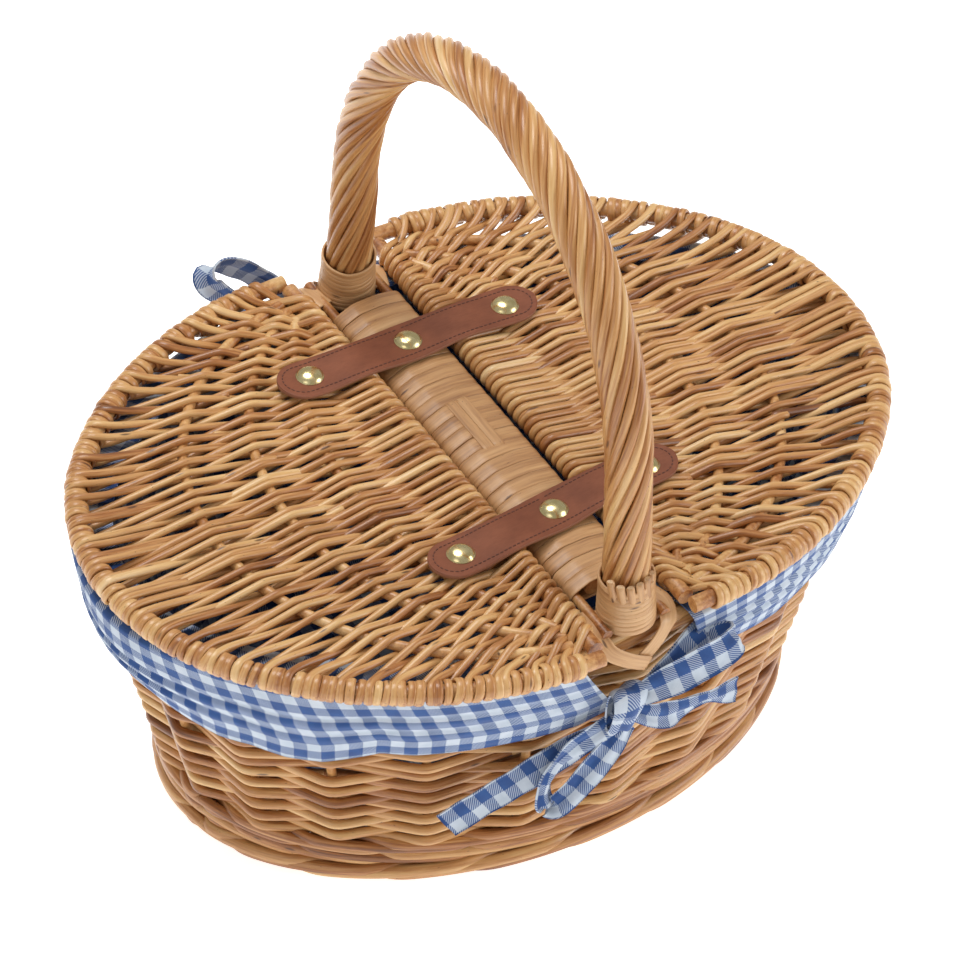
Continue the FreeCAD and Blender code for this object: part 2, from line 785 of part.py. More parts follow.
def make_right_lid_pieces():
    """Pieces of the right lid, by the last part of their names. It sits a little to the back."""
    outline = lid_outline("lid_border_line", "0")
    at(outline, y="@lid_side_shift", z="@lid_plane")
    near = size("lid_side_shift") - size("lid_half_width")
    start = V(size("lid_hinge_offset"), near, size("lid_plane"))
    place = FreeCAD.Placement(start, FreeCAD.Rotation(Z_AXIS, X_AXIS))
    rod = swept_tube("lid_border_rod", outline, 3, "@lid_rod_radius", place)
    wrap_outside = swept_tube("lid_wrap_outside", outline, 3, "@lid_wrap_radius", place)
    wrap_inside = swept_tube("lid_wrap_inside", outline, 3, "@lid_rod_radius + @fit_gap", place)
    wrap = cut("lid_border_wrap", wrap_outside, wrap_inside)

    along = FreeCAD.Rotation(X_AXIS, -90)
    half = "(@lid_half_width - @lid_wrap_radius - @gap)"
    hinge = cylinder("lid_hinge_rod", "@lid_rod_radius", f"2 * {half}")
    at(hinge, "@lid_hinge_offset", "@lid_side_shift - " + half, "@lid_plane", along)
    sleeve_outside = cylinder("lid_hinge_sleeve", "@lid_wrap_radius", f"2 * {half}")
    at(sleeve_outside, "@lid_hinge_offset", "@lid_side_shift - " + half, "@lid_plane", along)
    sleeve_inside = cylinder("lid_hinge_bore", "@lid_rod_radius + @fit_gap", f"2 * {half}")
    at(sleeve_inside, "@lid_hinge_offset", "@lid_side_shift - " + half, "@lid_plane", along)
    sleeve = cut("lid_hinge_wrap", sleeve_outside, sleeve_inside)

    inset = "@lid_wrap_radius + @gap"
    plate_line = lid_outline("lid_weave_line", inset)
    at(plate_line, y="@lid_side_shift", z="@lid_plane - @lid_weave_thickness / 2")
    plate = doc.addObject("Part::Extrusion", "lid_plate")
    plate.Base = plate_line
    plate.DirMode = "Custom"
    plate.Dir = Z_AXIS
    plate.Solid = True
    bind(plate, LengthFwd="@lid_weave_thickness")
    hinge_block = box(
        "lid_hinge_block", inset + " + @cut_margin", "@hinge_block_width", "@hinge_block_height"
    )
    at(
        hinge_block,
        "@lid_hinge_offset - @cut_margin",
        "-@hinge_block_width / 2",
        "@lid_plane - @hinge_block_height / 2",
    )
    ribs = ("rib_inner", "rib_middle", "rib_outer")
    tools = [hinge_block]
    tools += [rib_torus(f"lid_{rib}_hole", rib, "@fit_gap") for rib in ribs]
    pieces = {rib: rib_torus(f"lid_{rib}", rib, "0") for rib in ribs}
    pieces["hinge_rod"] = hinge
    pieces["hinge_wrap"] = sleeve
    pieces["border_rod"] = rod
    pieces["border_wrap"] = wrap
    return pieces, plate, tools


def make_lids():
    """Both lids. The left one is the right one turned half round, apart from its stud holes."""
    pieces, plate, tools = make_right_lid_pieces()
    for word, item in pieces.items():
        left = half_turned(item, f"left_{word}_copy")
        sub_part(left, f"left_lid_{word}")
        sub_part(item, f"right_lid_{word}")
    slotted = cut("lid_slotted_plate", plate, fuse("lid_plate_tools", tools))
    for side, label in ((1, "right_lid"), (-1, "left_lid")):
        holes = []
        for word in ("front", "back"):
            x, y = strap_stud(word, side)
            hole = cylinder(f"{label}_{word}_stud_hole", "@stud_shank_radius + @fit_gap", "@drill_depth")
            holes.append(at(hole, x, y, "@lid_plane - @drill_depth / 2"))
        base = slotted if side > 0 else half_turned(slotted, "left_slotted_plate")
        sub_part(cut(f"{label}_weave_solid", base, group(f"{label}_holes", holes)), f"{label}_weave")
        make_fasteners(label, side, "@lid_plane - @lid_weave_thickness / 2")


# ---- build, test and export ------------------------------------------------

make_foot_border()
make_base()
make_wall()
make_rim()
make_lining()
make_cuffs()
make_bow(-1, "front")
make_bow(1, "back")
make_handle()
make_lashings()
make_bridge()
make_strap("front")
make_strap("back")
make_fasteners("bridge", 0, "@bridge_wrap_bottom")
make_lids()
doc.recompute()

failed = [item.Name for item in doc.Objects if "Invalid" in item.State or "Error" in item.State]
failed += [item.Label for item in PARTS if item.Shape.isNull() or not item.Shape.isValid()]
if failed:
    raise RuntimeError("not built: " + ", ".join(failed))

os.makedirs("parts", exist_ok=True)
for item in PARTS:
    item.Shape.exportStep(f"parts/{item.Label}.step")
print(len(PARTS), "parts written")
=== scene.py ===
import math

import bpy
import numpy as np
from mathutils import Matrix, Vector


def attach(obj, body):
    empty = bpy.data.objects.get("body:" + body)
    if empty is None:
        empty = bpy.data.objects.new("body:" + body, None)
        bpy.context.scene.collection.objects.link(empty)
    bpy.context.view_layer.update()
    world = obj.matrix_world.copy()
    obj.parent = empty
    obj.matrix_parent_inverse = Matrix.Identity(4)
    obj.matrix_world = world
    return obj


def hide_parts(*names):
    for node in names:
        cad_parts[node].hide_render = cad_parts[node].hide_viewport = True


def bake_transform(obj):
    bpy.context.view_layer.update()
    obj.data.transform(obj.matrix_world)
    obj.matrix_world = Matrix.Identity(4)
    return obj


# Wicker picnic basket. Lines are laid out in the frame's millimetres and become metres in make_mesh.

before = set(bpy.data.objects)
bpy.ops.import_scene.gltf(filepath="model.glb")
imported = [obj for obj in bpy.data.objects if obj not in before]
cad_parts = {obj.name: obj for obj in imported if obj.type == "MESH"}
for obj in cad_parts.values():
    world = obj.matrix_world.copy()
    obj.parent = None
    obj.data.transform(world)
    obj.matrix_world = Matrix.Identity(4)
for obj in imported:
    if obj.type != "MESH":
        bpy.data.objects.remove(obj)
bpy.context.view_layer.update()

MM = 0.001
UP = np.array([0.0, 0.0, 1.0])

# bodywork: an ellipse whose half-axes grow with height
BASE_HALF = np.array([156.0, 109.0])
MOUTH_HALF = np.array([195.5, 136.3])
MOUTH_HEIGHT = 150.0
WALL_MIDDLE = -6.0
STAKES = 22
STAKE_START = -169.4

# lids
LID_PLANE = 164.5
HINGE_OFFSET = 26.8
LID_LENGTH = 171.7
LID_HALF = 145.0
LID_SHIFT = 5.0
TIP_RADIUS = 122.0
RIBS = ((44.0, 119.0), (78.0, 126.0), (115.0, 132.0))
RIB_START = 8.1

# handle
HANDLE_FOOT = (126.7, 157.6)
SHOULDER = (119.0, 276.5)
CROWN_CORNER = (66.0, 364.5)


def srgb(red, green, blue):
    """Linear colour with alpha, from an 8-bit sRGB one."""
    channels = []
    for value in (red, green, blue):
        value /= 255
        channels.append(value / 12.92 if value <= 0.04045 else ((value + 0.055) / 1.055) ** 2.4)
    return (*channels, 1.0)


def unit(vectors):
    return vectors / np.maximum(np.linalg.norm(vectors, axis=-1, keepdims=True), 1e-9)


def smooth_step(value):
    value = np.clip(value, 0, 1)
    return value * value * (3 - 2 * value)


def lengths(line):
    """Distance along a line to each of its points."""
    return np.concatenate([[0], np.cumsum(np.linalg.norm(np.diff(line, axis=0), axis=1))])


# ---- meshes

def link(data, name):
    item = bpy.data.objects.new(name, data)
    bpy.context.scene.collection.objects.link(item)
    return item


def settle(item, body, slot, *nodes):
    """A piece rides on its body and stands for its CAD nodes. Its slot argument is not used."""
    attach(item, body)
    if nodes:
        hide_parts(*nodes)


def make_mesh(name, points, faces, attributes=()):
    """Smooth mesh from millimetre points and lists of faces, with float or vector attributes."""
    mesh = bpy.data.meshes.new(name)
    sizes = np.concatenate([np.full(len(group), group.shape[1]) for group in faces])
    corners = np.concatenate([group.ravel() for group in faces])
    starts = np.concatenate([[0], np.cumsum(sizes)[:-1]])
    mesh.vertices.add(len(points))
    mesh.vertices.foreach_set("co", (np.asarray(points, float) * MM).ravel())
    mesh.loops.add(len(corners))
    mesh.loops.foreach_set("vertex_index", corners.astype(np.int32))
    mesh.polygons.add(len(sizes))
    mesh.polygons.foreach_set("loop_start", starts.astype(np.int32))
    mesh.update(calc_edges=True)
    mesh.polygons.foreach_set("use_smooth", np.ones(len(sizes), bool))
    for label, values in attributes:
        values = np.asarray(values, np.float32)
        if values.ndim == 1:
            mesh.attributes.new(label, "FLOAT", "POINT").data.foreach_set("value", values)
        else:
            layer = mesh.attributes.new(label, "FLOAT_VECTOR", "POINT")
            layer.data.foreach_set("vector", values.ravel())
    mesh.update()
    return link(mesh, name)


def even(points, step, closed=False):
    """The same line with points evenly spaced along it."""
    points = np.asarray(points, float)
    if closed:
        points = np.vstack([points, points[:1]])
    along = lengths(points)
    count = max(3, int(round(along[-1] / step)) + 1)
    places = np.linspace(0, along[-1], count)
    line = np.stack([np.interp(places, along, column) for column in points.T], axis=1)
    return line[:-1] if closed else line


def soften(points, rounds, closed=False):
    """The same line with its corners rounded."""
    points = np.array(points, float)
    for _ in range(rounds):
        before, after = np.roll(points, 1, 0), np.roll(points, -1, 0)
        mean = (before + 2 * points + after) / 4
        if closed:
            points = mean
        else:
            points[1:-1] = mean[1:-1]
    return points


def wander(rng, count, reach, waves=3):
    """Slow random wave along a line of count points."""
    place = np.linspace(0, 1, count)
    wave = np.zeros(count)
    for number in range(1, waves + 1):
        wave += rng.normal(0, 1 / number) * np.sin(2 * math.pi * number * place + rng.uniform(0, 6.3))
    return reach * wave


class Rods:
    """Many rods or strips, each swept along its own line, gathered into one mesh."""

    def __init__(self, seed, sides=8):
        self.rng = np.random.default_rng(seed)
        self.sides = sides
        self.points = []
        self.faces = {4: [], sides: []}
        self.rod = []
        self.tone = []
        self.cut = []
        self.count = 0

    def _keep(self, points, rod, tone, cut):
        first = self.count
        self.points.append(points)
        self.rod.append(rod)
        self.tone.append(np.full(len(points), tone))
        self.cut.append(np.full(len(points), cut))
        self.count += len(points)
        return first

    def add(self, line, side, width, height=None, closed=False, tone=None, square=1.0, caps=True):
        """One rod. Side is the direction of its width, and square below 1 makes it more square."""
        line = np.asarray(line, float)
        count = len(line)
        if tone is None:
            tone = self.rng.normal(0.5, 0.13)
        width = np.broadcast_to(np.asarray(width, float), count) / 2
        height = width if height is None else np.broadcast_to(np.asarray(height, float), count) / 2
        if closed:
            tangent = unit(np.roll(line, -1, 0) - np.roll(line, 1, 0))
        else:
            tangent = unit(np.gradient(line, axis=0))
        side = np.broadcast_to(np.asarray(side, float), line.shape)
        across = unit(side - (side * tangent).sum(1)[:, None] * tangent)
        up = np.cross(tangent, across)
        turn = 2 * math.pi * (np.arange(self.sides) + 0.5) / self.sides
        wide = np.sign(np.cos(turn)) * np.abs(np.cos(turn)) ** square
        high = np.sign(np.sin(turn)) * np.abs(np.sin(turn)) ** square
        if not closed and caps:
            bevel = 0.35 * min(height[0], height[-1])
            line = np.vstack([line[:1] - tangent[:1] * bevel, line, line[-1:] + tangent[-1:] * bevel])
            across = np.vstack([across[:1], across, across[-1:]])
            up = np.vstack([up[:1], up, up[-1:]])
            width = np.concatenate([width[:1] - bevel, width, width[-1:] - bevel])
            height = np.concatenate([height[:1] - bevel, height, height[-1:] - bevel])
            count += 2
        w = width[:, None] * wide
        h = height[:, None] * high
        rings = line[:, None] + across[:, None] * w[..., None] + up[:, None] * h[..., None]
        along = lengths(line) + self.rng.uniform(0, 4000)
        rod = np.stack([w, h, np.broadcast_to(along[:, None], w.shape)], axis=2)
        first = self._keep(rings.reshape(-1, 3), rod.reshape(-1, 3), tone, 0.0)
        index = first + np.arange(count * self.sides).reshape(count, self.sides)
        here = index if closed else index[:-1]
        ahead = np.roll(index, -1, 0) if closed else index[1:]
        quads = np.stack([here, np.roll(here, -1, 1), np.roll(ahead, -1, 1), ahead], axis=2)
        self.faces[4].append(quads.reshape(-1, 4))
        if not closed:
            for end, order in ((0, -1), (-1, 1)):
                low = self._keep(rings[end], rod[end], tone, 1.0)
                self.faces[self.sides].append((low + np.arange(self.sides))[::order][None])

    def make(self, name, material):
        faces = [np.concatenate(group) for group in self.faces.values() if group]
        attributes = (
            ("rod", np.concatenate(self.rod)),
            ("tone", np.concatenate(self.tone)),
            ("cut", np.concatenate(self.cut)),
        )
        item = make_mesh(name, np.concatenate(self.points), faces, attributes)
        item.data.materials.append(material)
        return item


# ---- materials

class Shader:
    """Short way to write a material's nodes."""

    def __init__(self, name):
        self.material = bpy.data.materials.new(name)
        self.material.use_nodes = True
        self.nodes = self.material.node_tree.nodes
        self.links = self.material.node_tree.links
        self.surface = self.nodes["Principled BSDF"]

    def node(self, kind, inputs, **settings):
        node = self.nodes.new(kind)
        for label, value in settings.items():
            setattr(node, label, value)
        for label, value in inputs.items():
            self.feed(node, label, value)
        return node

    def feed(self, node, label, value):
        if isinstance(value, bpy.types.NodeSocket):
            self.links.new(value, node.inputs[label])
        else:
            node.inputs[label].default_value = value

    def attribute(self, label, kind="Fac"):
        return self.node("ShaderNodeAttribute", {}, attribute_name=label).outputs[kind]

    def coordinates(self):
        return self.node("ShaderNodeTexCoord", {}).outputs["Object"]

    def stretch(self, vector, x, y, z):
        return self.node("ShaderNodeMapping", {"Vector": vector, "Scale": (x, y, z)}).outputs[0]

    def noise(self, vector, scale, detail=2.0, roughness=0.5):
        inputs = {"Vector": vector, "Scale": scale, "Detail": detail, "Roughness": roughness}
        return self.node("ShaderNodeTexNoise", inputs).outputs[0]

    def math(self, operation, *values):
        return self.node("ShaderNodeMath", dict(enumerate(values)), operation=operation).outputs[0]

    def spread(self, value, low, high, to_low=0.0, to_high=1.0):
        inputs = {0: value, 1: low, 2: high, 3: to_low, 4: to_high}
        return self.node("ShaderNodeMapRange", inputs).outputs[0]

    def ramp(self, value, stops):
        node = self.node("ShaderNodeValToRGB", {"Fac": value})
        elements = node.color_ramp.elements
        while len(elements) < len(stops):
            elements.new(0.5)
        for element, (place, colour) in zip(elements, stops):
            element.position = place
            element.color = colour
        return node.outputs[0]

    def mix(self, share, first, second):
        inputs = {0: share, 6: first, 7: second}
        return self.node("ShaderNodeMix", inputs, data_type="RGBA").outputs[2]

    def bump(self, height, strength, distance):
        inputs = {"Height": height, "Strength": strength, "Distance": distance * MM}
        return self.node("ShaderNodeBump", inputs).outputs[0]

    def finish(self, colour, roughness, normal=None, **constants):
        self.feed(self.surface, "Base Color", colour)
        self.feed(self.surface, "Roughness", roughness)
        if normal is not None:
            self.feed(self.surface, "Normal", normal)
        for label, value in constants.items():
            self.feed(self.surface, label.replace("_", " "), value)
        return self.material


WILLOW = (
    (0.0, srgb(112, 64, 28)),
    (0.25, srgb(168, 108, 56)),
    (0.5, srgb(203, 150, 92)),
    (0.75, srgb(221, 178, 118)),
    (1.0, srgb(235, 200, 150)),
)


def willow(name, lift=0.0, on_rods=True, gloss=0.34, stops=WILLOW):
    """Peeled willow: each rod has its own tone, with streaks along it, dark knots and pale cut ends."""
    s = Shader(name)
    if on_rods:
        place = s.attribute("rod", "Vector")
        tone = s.attribute("tone")
    else:
        place = s.node("ShaderNodeVectorMath", {0: s.coordinates(), 1: (1000, 1000, 1000)},
                       operation="MULTIPLY").outputs[0]
        tone = s.noise(s.stretch(place, 0.03, 0.03, 0.03), 1.0)
    thin = (0.9, 0.9, 0.05) if on_rods else (0.5, 0.5, 0.5)
    broad = (0.25, 0.25, 0.012) if on_rods else (0.06, 0.06, 0.06)
    streaks = s.noise(s.stretch(place, *thin), 1.0, 4.0, 0.6)
    blotches = s.noise(s.stretch(place, *broad), 1.0, 2.0)
    amount = s.math("ADD", tone, s.spread(streaks, 0.3, 0.7, -0.17, 0.17))
    amount = s.math("ADD", amount, s.spread(blotches, 0.3, 0.7, -0.19 + lift, 0.19 + lift))
    colour = s.ramp(amount, stops)
    cells = s.node("ShaderNodeTexVoronoi", {"Vector": s.stretch(place, 0.25, 0.25, 0.06), "Scale": 1.0})
    chance = s.node("ShaderNodeSeparateColor", {0: cells.outputs["Color"]}).outputs[0]
    rare = s.math("LESS_THAN", chance, 0.2)
    spot = s.math("MULTIPLY", s.spread(cells.outputs["Distance"], 0.1, 0.2, 1.0, 0.0), rare)
    colour = s.mix(s.math("MULTIPLY", spot, 0.8), colour, srgb(70, 38, 20))
    specks = s.noise(s.stretch(place, 1.6, 1.6, 0.5), 1.0, 1.0)
    colour = s.mix(s.spread(specks, 0.74, 0.79, 0.0, 0.7), colour, srgb(84, 46, 26))
    if on_rods:
        pith = s.noise(s.stretch(place, 2.0, 2.0, 0.0), 1.0, 3.0)
        pale = s.ramp(pith, ((0.3, srgb(196, 150, 104)), (0.7, srgb(236, 208, 166))))
        colour = s.mix(s.attribute("cut"), colour, pale)
    grain = s.noise(s.stretch(place, 2.5, 2.5, 0.12), 1.0, 3.0, 0.65)
    height = s.math("ADD", grain, s.math("MULTIPLY", spot, -0.6))
    rough = s.spread(streaks, 0.3, 0.7, gloss - 0.06, gloss + 0.14)
    return s.finish(colour, rough, s.bump(height, 0.35, 0.35), Coat_Weight=0.35, Coat_Roughness=0.24)


# ---- camera, floor and light

CAMERA_TURN = math.radians(-32.6)
CAMERA_RISE = math.radians(42.44)
CAMERA_ROLL = math.radians(2.85)
CAMERA_TARGET = Vector((0, 0, 0.1645))
CAMERA_DISTANCE = 2.96
# How far the view's middle lies left of and below the target, in metres.
AIM_LEFT = 0.00125
AIM_LOW = 0.0185
LENS = 240.375
SENSOR = 36


def make_camera():
    turn, rise = CAMERA_TURN, CAMERA_RISE
    back = Vector((math.sin(turn) * math.cos(rise), -math.cos(turn) * math.cos(rise), math.sin(rise)))
    level = Vector((0, 0, 1)).cross(back).normalized()
    upright = back.cross(level)
    right = level * math.cos(CAMERA_ROLL) + upright * math.sin(CAMERA_ROLL)
    top = upright * math.cos(CAMERA_ROLL) - level * math.sin(CAMERA_ROLL)
    aim = CAMERA_TARGET - right * AIM_LEFT - top * AIM_LOW
    camera = link(bpy.data.cameras.new("camera"), "camera")
    camera.data.lens = LENS
    camera.data.sensor_width = SENSOR
    camera.data.clip_end = 50
    place = aim + back * CAMERA_DISTANCE
    camera.matrix_world = Matrix((
        (right.x, top.x, back.x, place.x),
        (right.y, top.y, back.y, place.y),
        (right.z, top.z, back.z, place.z),
        (0, 0, 0, 1),
    ))
    bpy.context.scene.camera = camera


def make_floor():
    reach = 4000.0
    corners = np.array([(-reach, -reach, 0), (reach, -reach, 0), (reach, reach, 0), (-reach, reach, 0)])
    floor = make_mesh("studio_floor", corners, [np.array([[0, 1, 2, 3]])])
    s = Shader("floor_paper")
    mottle = s.noise(s.coordinates(), 3.0)
    colour = s.ramp(mottle, ((0.0, srgb(238, 238, 238)), (1.0, srgb(242, 242, 242))))
    s.feed(s.surface, "Emission Color", (1.0, 1.0, 1.0, 1.0))
    floor.data.materials.append(s.finish(colour, 0.9, Specular_IOR_Level=0.1, Emission_Strength=0.75))


def area_light(name, place, target, size, power):
    light = bpy.data.lights.new(name, "AREA")
    light.shape = "DISK"
    light.size = size
    light.energy = power
    item = link(light, name)
    item.location = place
    item.rotation_euler = (Vector(target) - Vector(place)).to_track_quat("-Z", "Y").to_euler()


def make_light():
    world = bpy.data.worlds.new("studio")
    bpy.context.scene.world = world
    world.use_nodes = True
    background = world.node_tree.nodes["Background"]
    background.inputs["Color"].default_value = (1, 1, 1, 1)
    background.inputs["Strength"].default_value = 0.36
    area_light("key", (-0.2, 0.8, 2.3), (0, 0, 0.15), 1.4, 36)
    area_light("fill", (1.8, -1.5, 1.0), (0, 0, 0.1), 1.4, 23)
    area_light("side", (-1.9, -0.9, 1.2), (0, 0, 0.1), 1.4, 6)
    bpy.context.scene.view_settings.view_transform = "Standard"


make_camera()
make_floor()
make_light()

RAW_WILLOW = willow("willow_weavers")
BODY_WILLOW = willow("willow_body", lift=-0.06)
PLAIN_WILLOW = willow("willow_plain", on_rods=False)
RED_WILLOW = willow("willow_reddish", lift=-0.22, on_rods=False)


# ---- lids
# A lid is laid out flat as (u, y): u is the distance out from its hinge rod, y the distance along it.

TIP_MIDDLE = LID_LENGTH - TIP_RADIUS
SHOULDER_RADIUS = (TIP_MIDDLE**2 + LID_HALF**2 - TIP_RADIUS**2) / (2 * (LID_HALF - TIP_RADIUS))
SHOULDER_LOW = SHOULDER_RADIUS - LID_HALF
SWING = math.atan2(SHOULDER_LOW, TIP_MIDDLE)
TIP_ARC = TIP_RADIUS * SWING
EDGE_HALF = TIP_ARC + SHOULDER_RADIUS * (math.pi / 2 - SWING)
# The passes leave the hinge rod up to PASS_REACH from its middle and fan out. A pass lies OVER above or
# below each rib, and turns round the hinge rod and the edge at a radius of WRAP.
PASS_REACH = 131.0
FAN = math.radians(38)
OVER = 3.8
WRAP = 5.0
PASS_STEP = 2.2
BARE_CORNER = 9.0
RING_PITCH = 4.0


def edge_place(u, y):
    """Distance along the lid's edge from its tip to the point nearest (u, y), and the gap to it."""
    side = 1 if y >= 0 else -1
    angle = math.atan2(abs(y), u - TIP_MIDDLE)
    if angle < SWING:
        return side * TIP_RADIUS * angle, TIP_RADIUS - math.hypot(u - TIP_MIDDLE, y)
    angle = math.atan2(abs(y) + SHOULDER_LOW, u)
    gap = SHOULDER_RADIUS - math.hypot(u, abs(y) + SHOULDER_LOW)
    return side * (TIP_ARC + SHOULDER_RADIUS * (angle - SWING)), gap


def edge_point(place):
    """Point (u, y) of the lid's edge and the outward direction there."""
    side = 1 if place >= 0 else -1
    far = abs(place)
    if far < TIP_ARC:
        angle = far / TIP_RADIUS
        out = np.array([math.cos(angle), side * math.sin(angle)])
        return np.array([TIP_MIDDLE, 0.0]) + TIP_RADIUS * out, out
    angle = SWING + (far - TIP_ARC) / SHOULDER_RADIUS
    out = np.array([math.cos(angle), side * math.sin(angle)])
    return np.array([0.0, -side * SHOULDER_LOW]) + SHOULDER_RADIUS * out, out


def rib_side(rib, points):
    """Which side of a rib's arc the points are on."""
    bulge, half = rib
    rise = bulge - RIB_START
    radius = (half**2 + rise**2) / (2 * rise)
    return np.sign(np.hypot(points[:, 0] - bulge + radius, points[:, 1]) - radius)


def lid_world(points, hand):
    """Lid points (u, y, height above the lid plane) in the frame. The left lid is turned half round."""
    u, y, height = np.asarray(points, float).T
    return np.stack([hand * (HINGE_OFFSET + u), hand * (y + LID_SHIFT), LID_PLANE + height], axis=1)


def pass_plan(rng, start, angle):
    """Line of one pass in plan, from the hinge to where it goes over the lid's edge."""
    origin = np.array([0.0, start])
    direction = np.array([math.cos(angle), math.sin(angle)])
    reach = 0.0
    while edge_place(*(origin + reach * direction))[1] > 0:
        reach += 0.5
    corner = origin + max(0.35 * reach, reach - 10) * direction
    straight = edge_place(*(origin + reach * direction))[0]
    landing = 0.5 * (straight + edge_place(*corner)[0])
    point, out = edge_point(landing)
    line = soften(even([origin, corner, point], 1.0), 10)
    line[:, 1] += wander(rng, len(line), 0.35) * np.sin(np.linspace(0, math.pi, len(line)))
    return line, landing, out


def pass_heights(line, over):
    """Height of a pass: it crosses the hinge rod, each rib and the edge on alternate sides."""
    along = lengths(line)
    crossings = []
    for rib in RIBS:
        change = np.nonzero(np.diff(rib_side(rib, line)))[0]
        crossings += [along[place] for place in change if line[place, 0] > RIB_START + 1]
    kept = [0.0]
    for place in sorted(crossings):
        if place - kept[-1] > 13 and along[-1] - place > 11:
            kept.append(place)
    kept.append(along[-1])
    heights = []
    for number, place in enumerate(kept):
        sign = over * (-1) ** number
        end = number in (0, len(kept) - 1)
        heights.append(sign * (WRAP if end else OVER))
    return along, np.array(kept), np.array(heights)


def make_lid_weave(hand, word, seed, passes):
    """Weavers of one lid: each pass runs from the hinge rod to the edge and wraps over both."""
    rods = Rods(seed)
    rng = np.random.default_rng(seed + 50)
    landings = []
    for number in range(passes):
        share = -1 + 2 * (number + 0.5) / passes
        start = PASS_REACH * share + rng.normal(0, 0.3)
        angle = math.copysign(FAN * abs(share) ** 2.2, share) + rng.normal(0, 0.01)
        line, landing, out = pass_plan(rng, start, angle)
        over = 1 if number % 2 else -1
        along, places, heights = pass_heights(line, over)
        height = np.interp(along, places, heights)
        body = np.column_stack([line, height])
        plan_side = unit(np.gradient(line, axis=0))
        first, last = plan_side[0], out
        if over > 0:
            arc = np.radians(np.arange(265, 95, -14))
            gone = WRAP * np.cos(arc)
            lead = np.column_stack([gone * first[0], start + gone * first[1], WRAP * np.sin(arc)])
            lead[:, 1] += np.linspace(1.3, 0, len(lead))
            body = np.vstack([lead, body])
            plan_side = np.vstack([np.repeat([first], len(lead), 0), plan_side])
        if heights[-1] > 0:
            arc = np.radians(np.arange(84, -100, -14))
            gone = WRAP * np.cos(arc)
            point = line[-1]
            tail = np.column_stack([point[0] + gone * last[0], point[1] + gone * last[1], WRAP * np.sin(arc)])
            body = np.vstack([body, tail])
            plan_side = np.vstack([plan_side, np.repeat([last], len(tail), 0)])
            landings.append(landing)
        full = soften(even(np.column_stack([body, plan_side]), PASS_STEP), 1)
        size = len(full)
        width = rng.uniform(3.5, 4.3)
        wide = width * (1 + 0.06 * np.sin(np.linspace(0, rng.uniform(4, 9), size) + rng.uniform(0, 6)))
        from_end = np.arange(size)[::-1] * PASS_STEP
        pressed = (1 - smooth_step((from_end - 12) / 9)) * (heights[-1] > 0)
        high = np.minimum(wide, 3.4) * (1 - 0.33 * pressed)
        wide = wide * (1 + 0.18 * pressed)
        world = lid_world(full[:, :3], hand)
        side = hand * np.column_stack([-full[:, 4], full[:, 3], np.zeros(size)])
        ends = [(0, size)]
        if size > 40 and rng.random() < 0.14:
            cut = int(rng.uniform(0.25, 0.75) * size)
            ends = [(0, cut + 4), (cut, size)]
        for part, (start_at, stop_at) in enumerate(ends):
            piece = slice(start_at, stop_at)
            moved = world[piece] + part * 1.3 * unit(side[piece])
            rods.add(moved, side[piece], wide[piece], high[piece])
    weave = rods.make(word + "_weavers", RAW_WILLOW)
    settle(weave, word, "willow", word + "_weave", word + "_hinge_wrap")
    return sorted(landings)


def make_lid_edge(hand, word, seed, landings):
    """Bands wound round the lid's edge between the passes that go over it."""
    bands = Rods(seed)
    rng = bands.rng
    places = [-EDGE_HALF + BARE_CORNER] + landings + [EDGE_HALF - BARE_CORNER]
    rings = []
    for before, after in zip(places, places[1:]):
        count = int(round((after - before) / RING_PITCH))
        rings += list(np.linspace(before, after, count + 1)[1:-1]) if count > 1 else []
    turn = np.radians(np.arange(0, 360, 20))
    for place in rings:
        point, out = edge_point(place + rng.normal(0, 0.2))
        along = np.array([-out[1], out[0]])
        radius = WRAP + rng.normal(0, 0.15)
        lean = rng.normal(0.9, 0.4)
        flat = point + radius * np.cos(turn)[:, None] * out + lean * np.sin(turn)[:, None] * along
        line = lid_world(np.column_stack([flat, radius * np.sin(turn)]), hand)
        side = hand * np.array([along[0], along[1], 0.0])
        bands.add(line, side, rng.uniform(3.7, 4.6), 2.0, closed=True, square=0.75,
                  tone=rng.normal(0.46, 0.08))
    edge = bands.make(word + "_edge_bands", RAW_WILLOW)
    settle(edge, word, "willow", word + "_border_wrap")


for hand, word, seed, passes in ((-1, "left_lid", 11, 94), (1, "right_lid", 23, 106)):
    edge_landings = make_lid_weave(hand, word, seed, passes)
    make_lid_edge(hand, word, seed + 5, edge_landings)


# ---- bodywork

def half_axes(height, offset):
    grow = (MOUTH_HALF - BASE_HALF) / MOUTH_HEIGHT
    return BASE_HALF + np.multiply.outer(height, grow) + np.asarray(offset, float)[..., None]


def wall_line(angles, height, offset):
    """Points of the bodywork's oval by ellipse angle, height and how far they stand out."""
    height = np.broadcast_to(np.asarray(height, float), angles.shape)
    offset = np.broadcast_to(np.asarray(offset, float), angles.shape)
    axes = half_axes(height, offset)
    return np.stack([axes[:, 0] * np.cos(angles), axes[:, 1] * np.sin(angles), height], axis=1)


WALL_LOW, WALL_SPLIT, WALL_TOP = 24.6, 83.7, 143.0
ROW_PITCH = 4.4
ROW_SWING = 5.0
STAKE_TURN = 2 * math.pi / STAKES
# Height and rod width of each band of waling, and of the foot border.
WALINGS = ((14.6, 5.7), (22.4, 5.5))
FOOT = (5.6, 6.4)


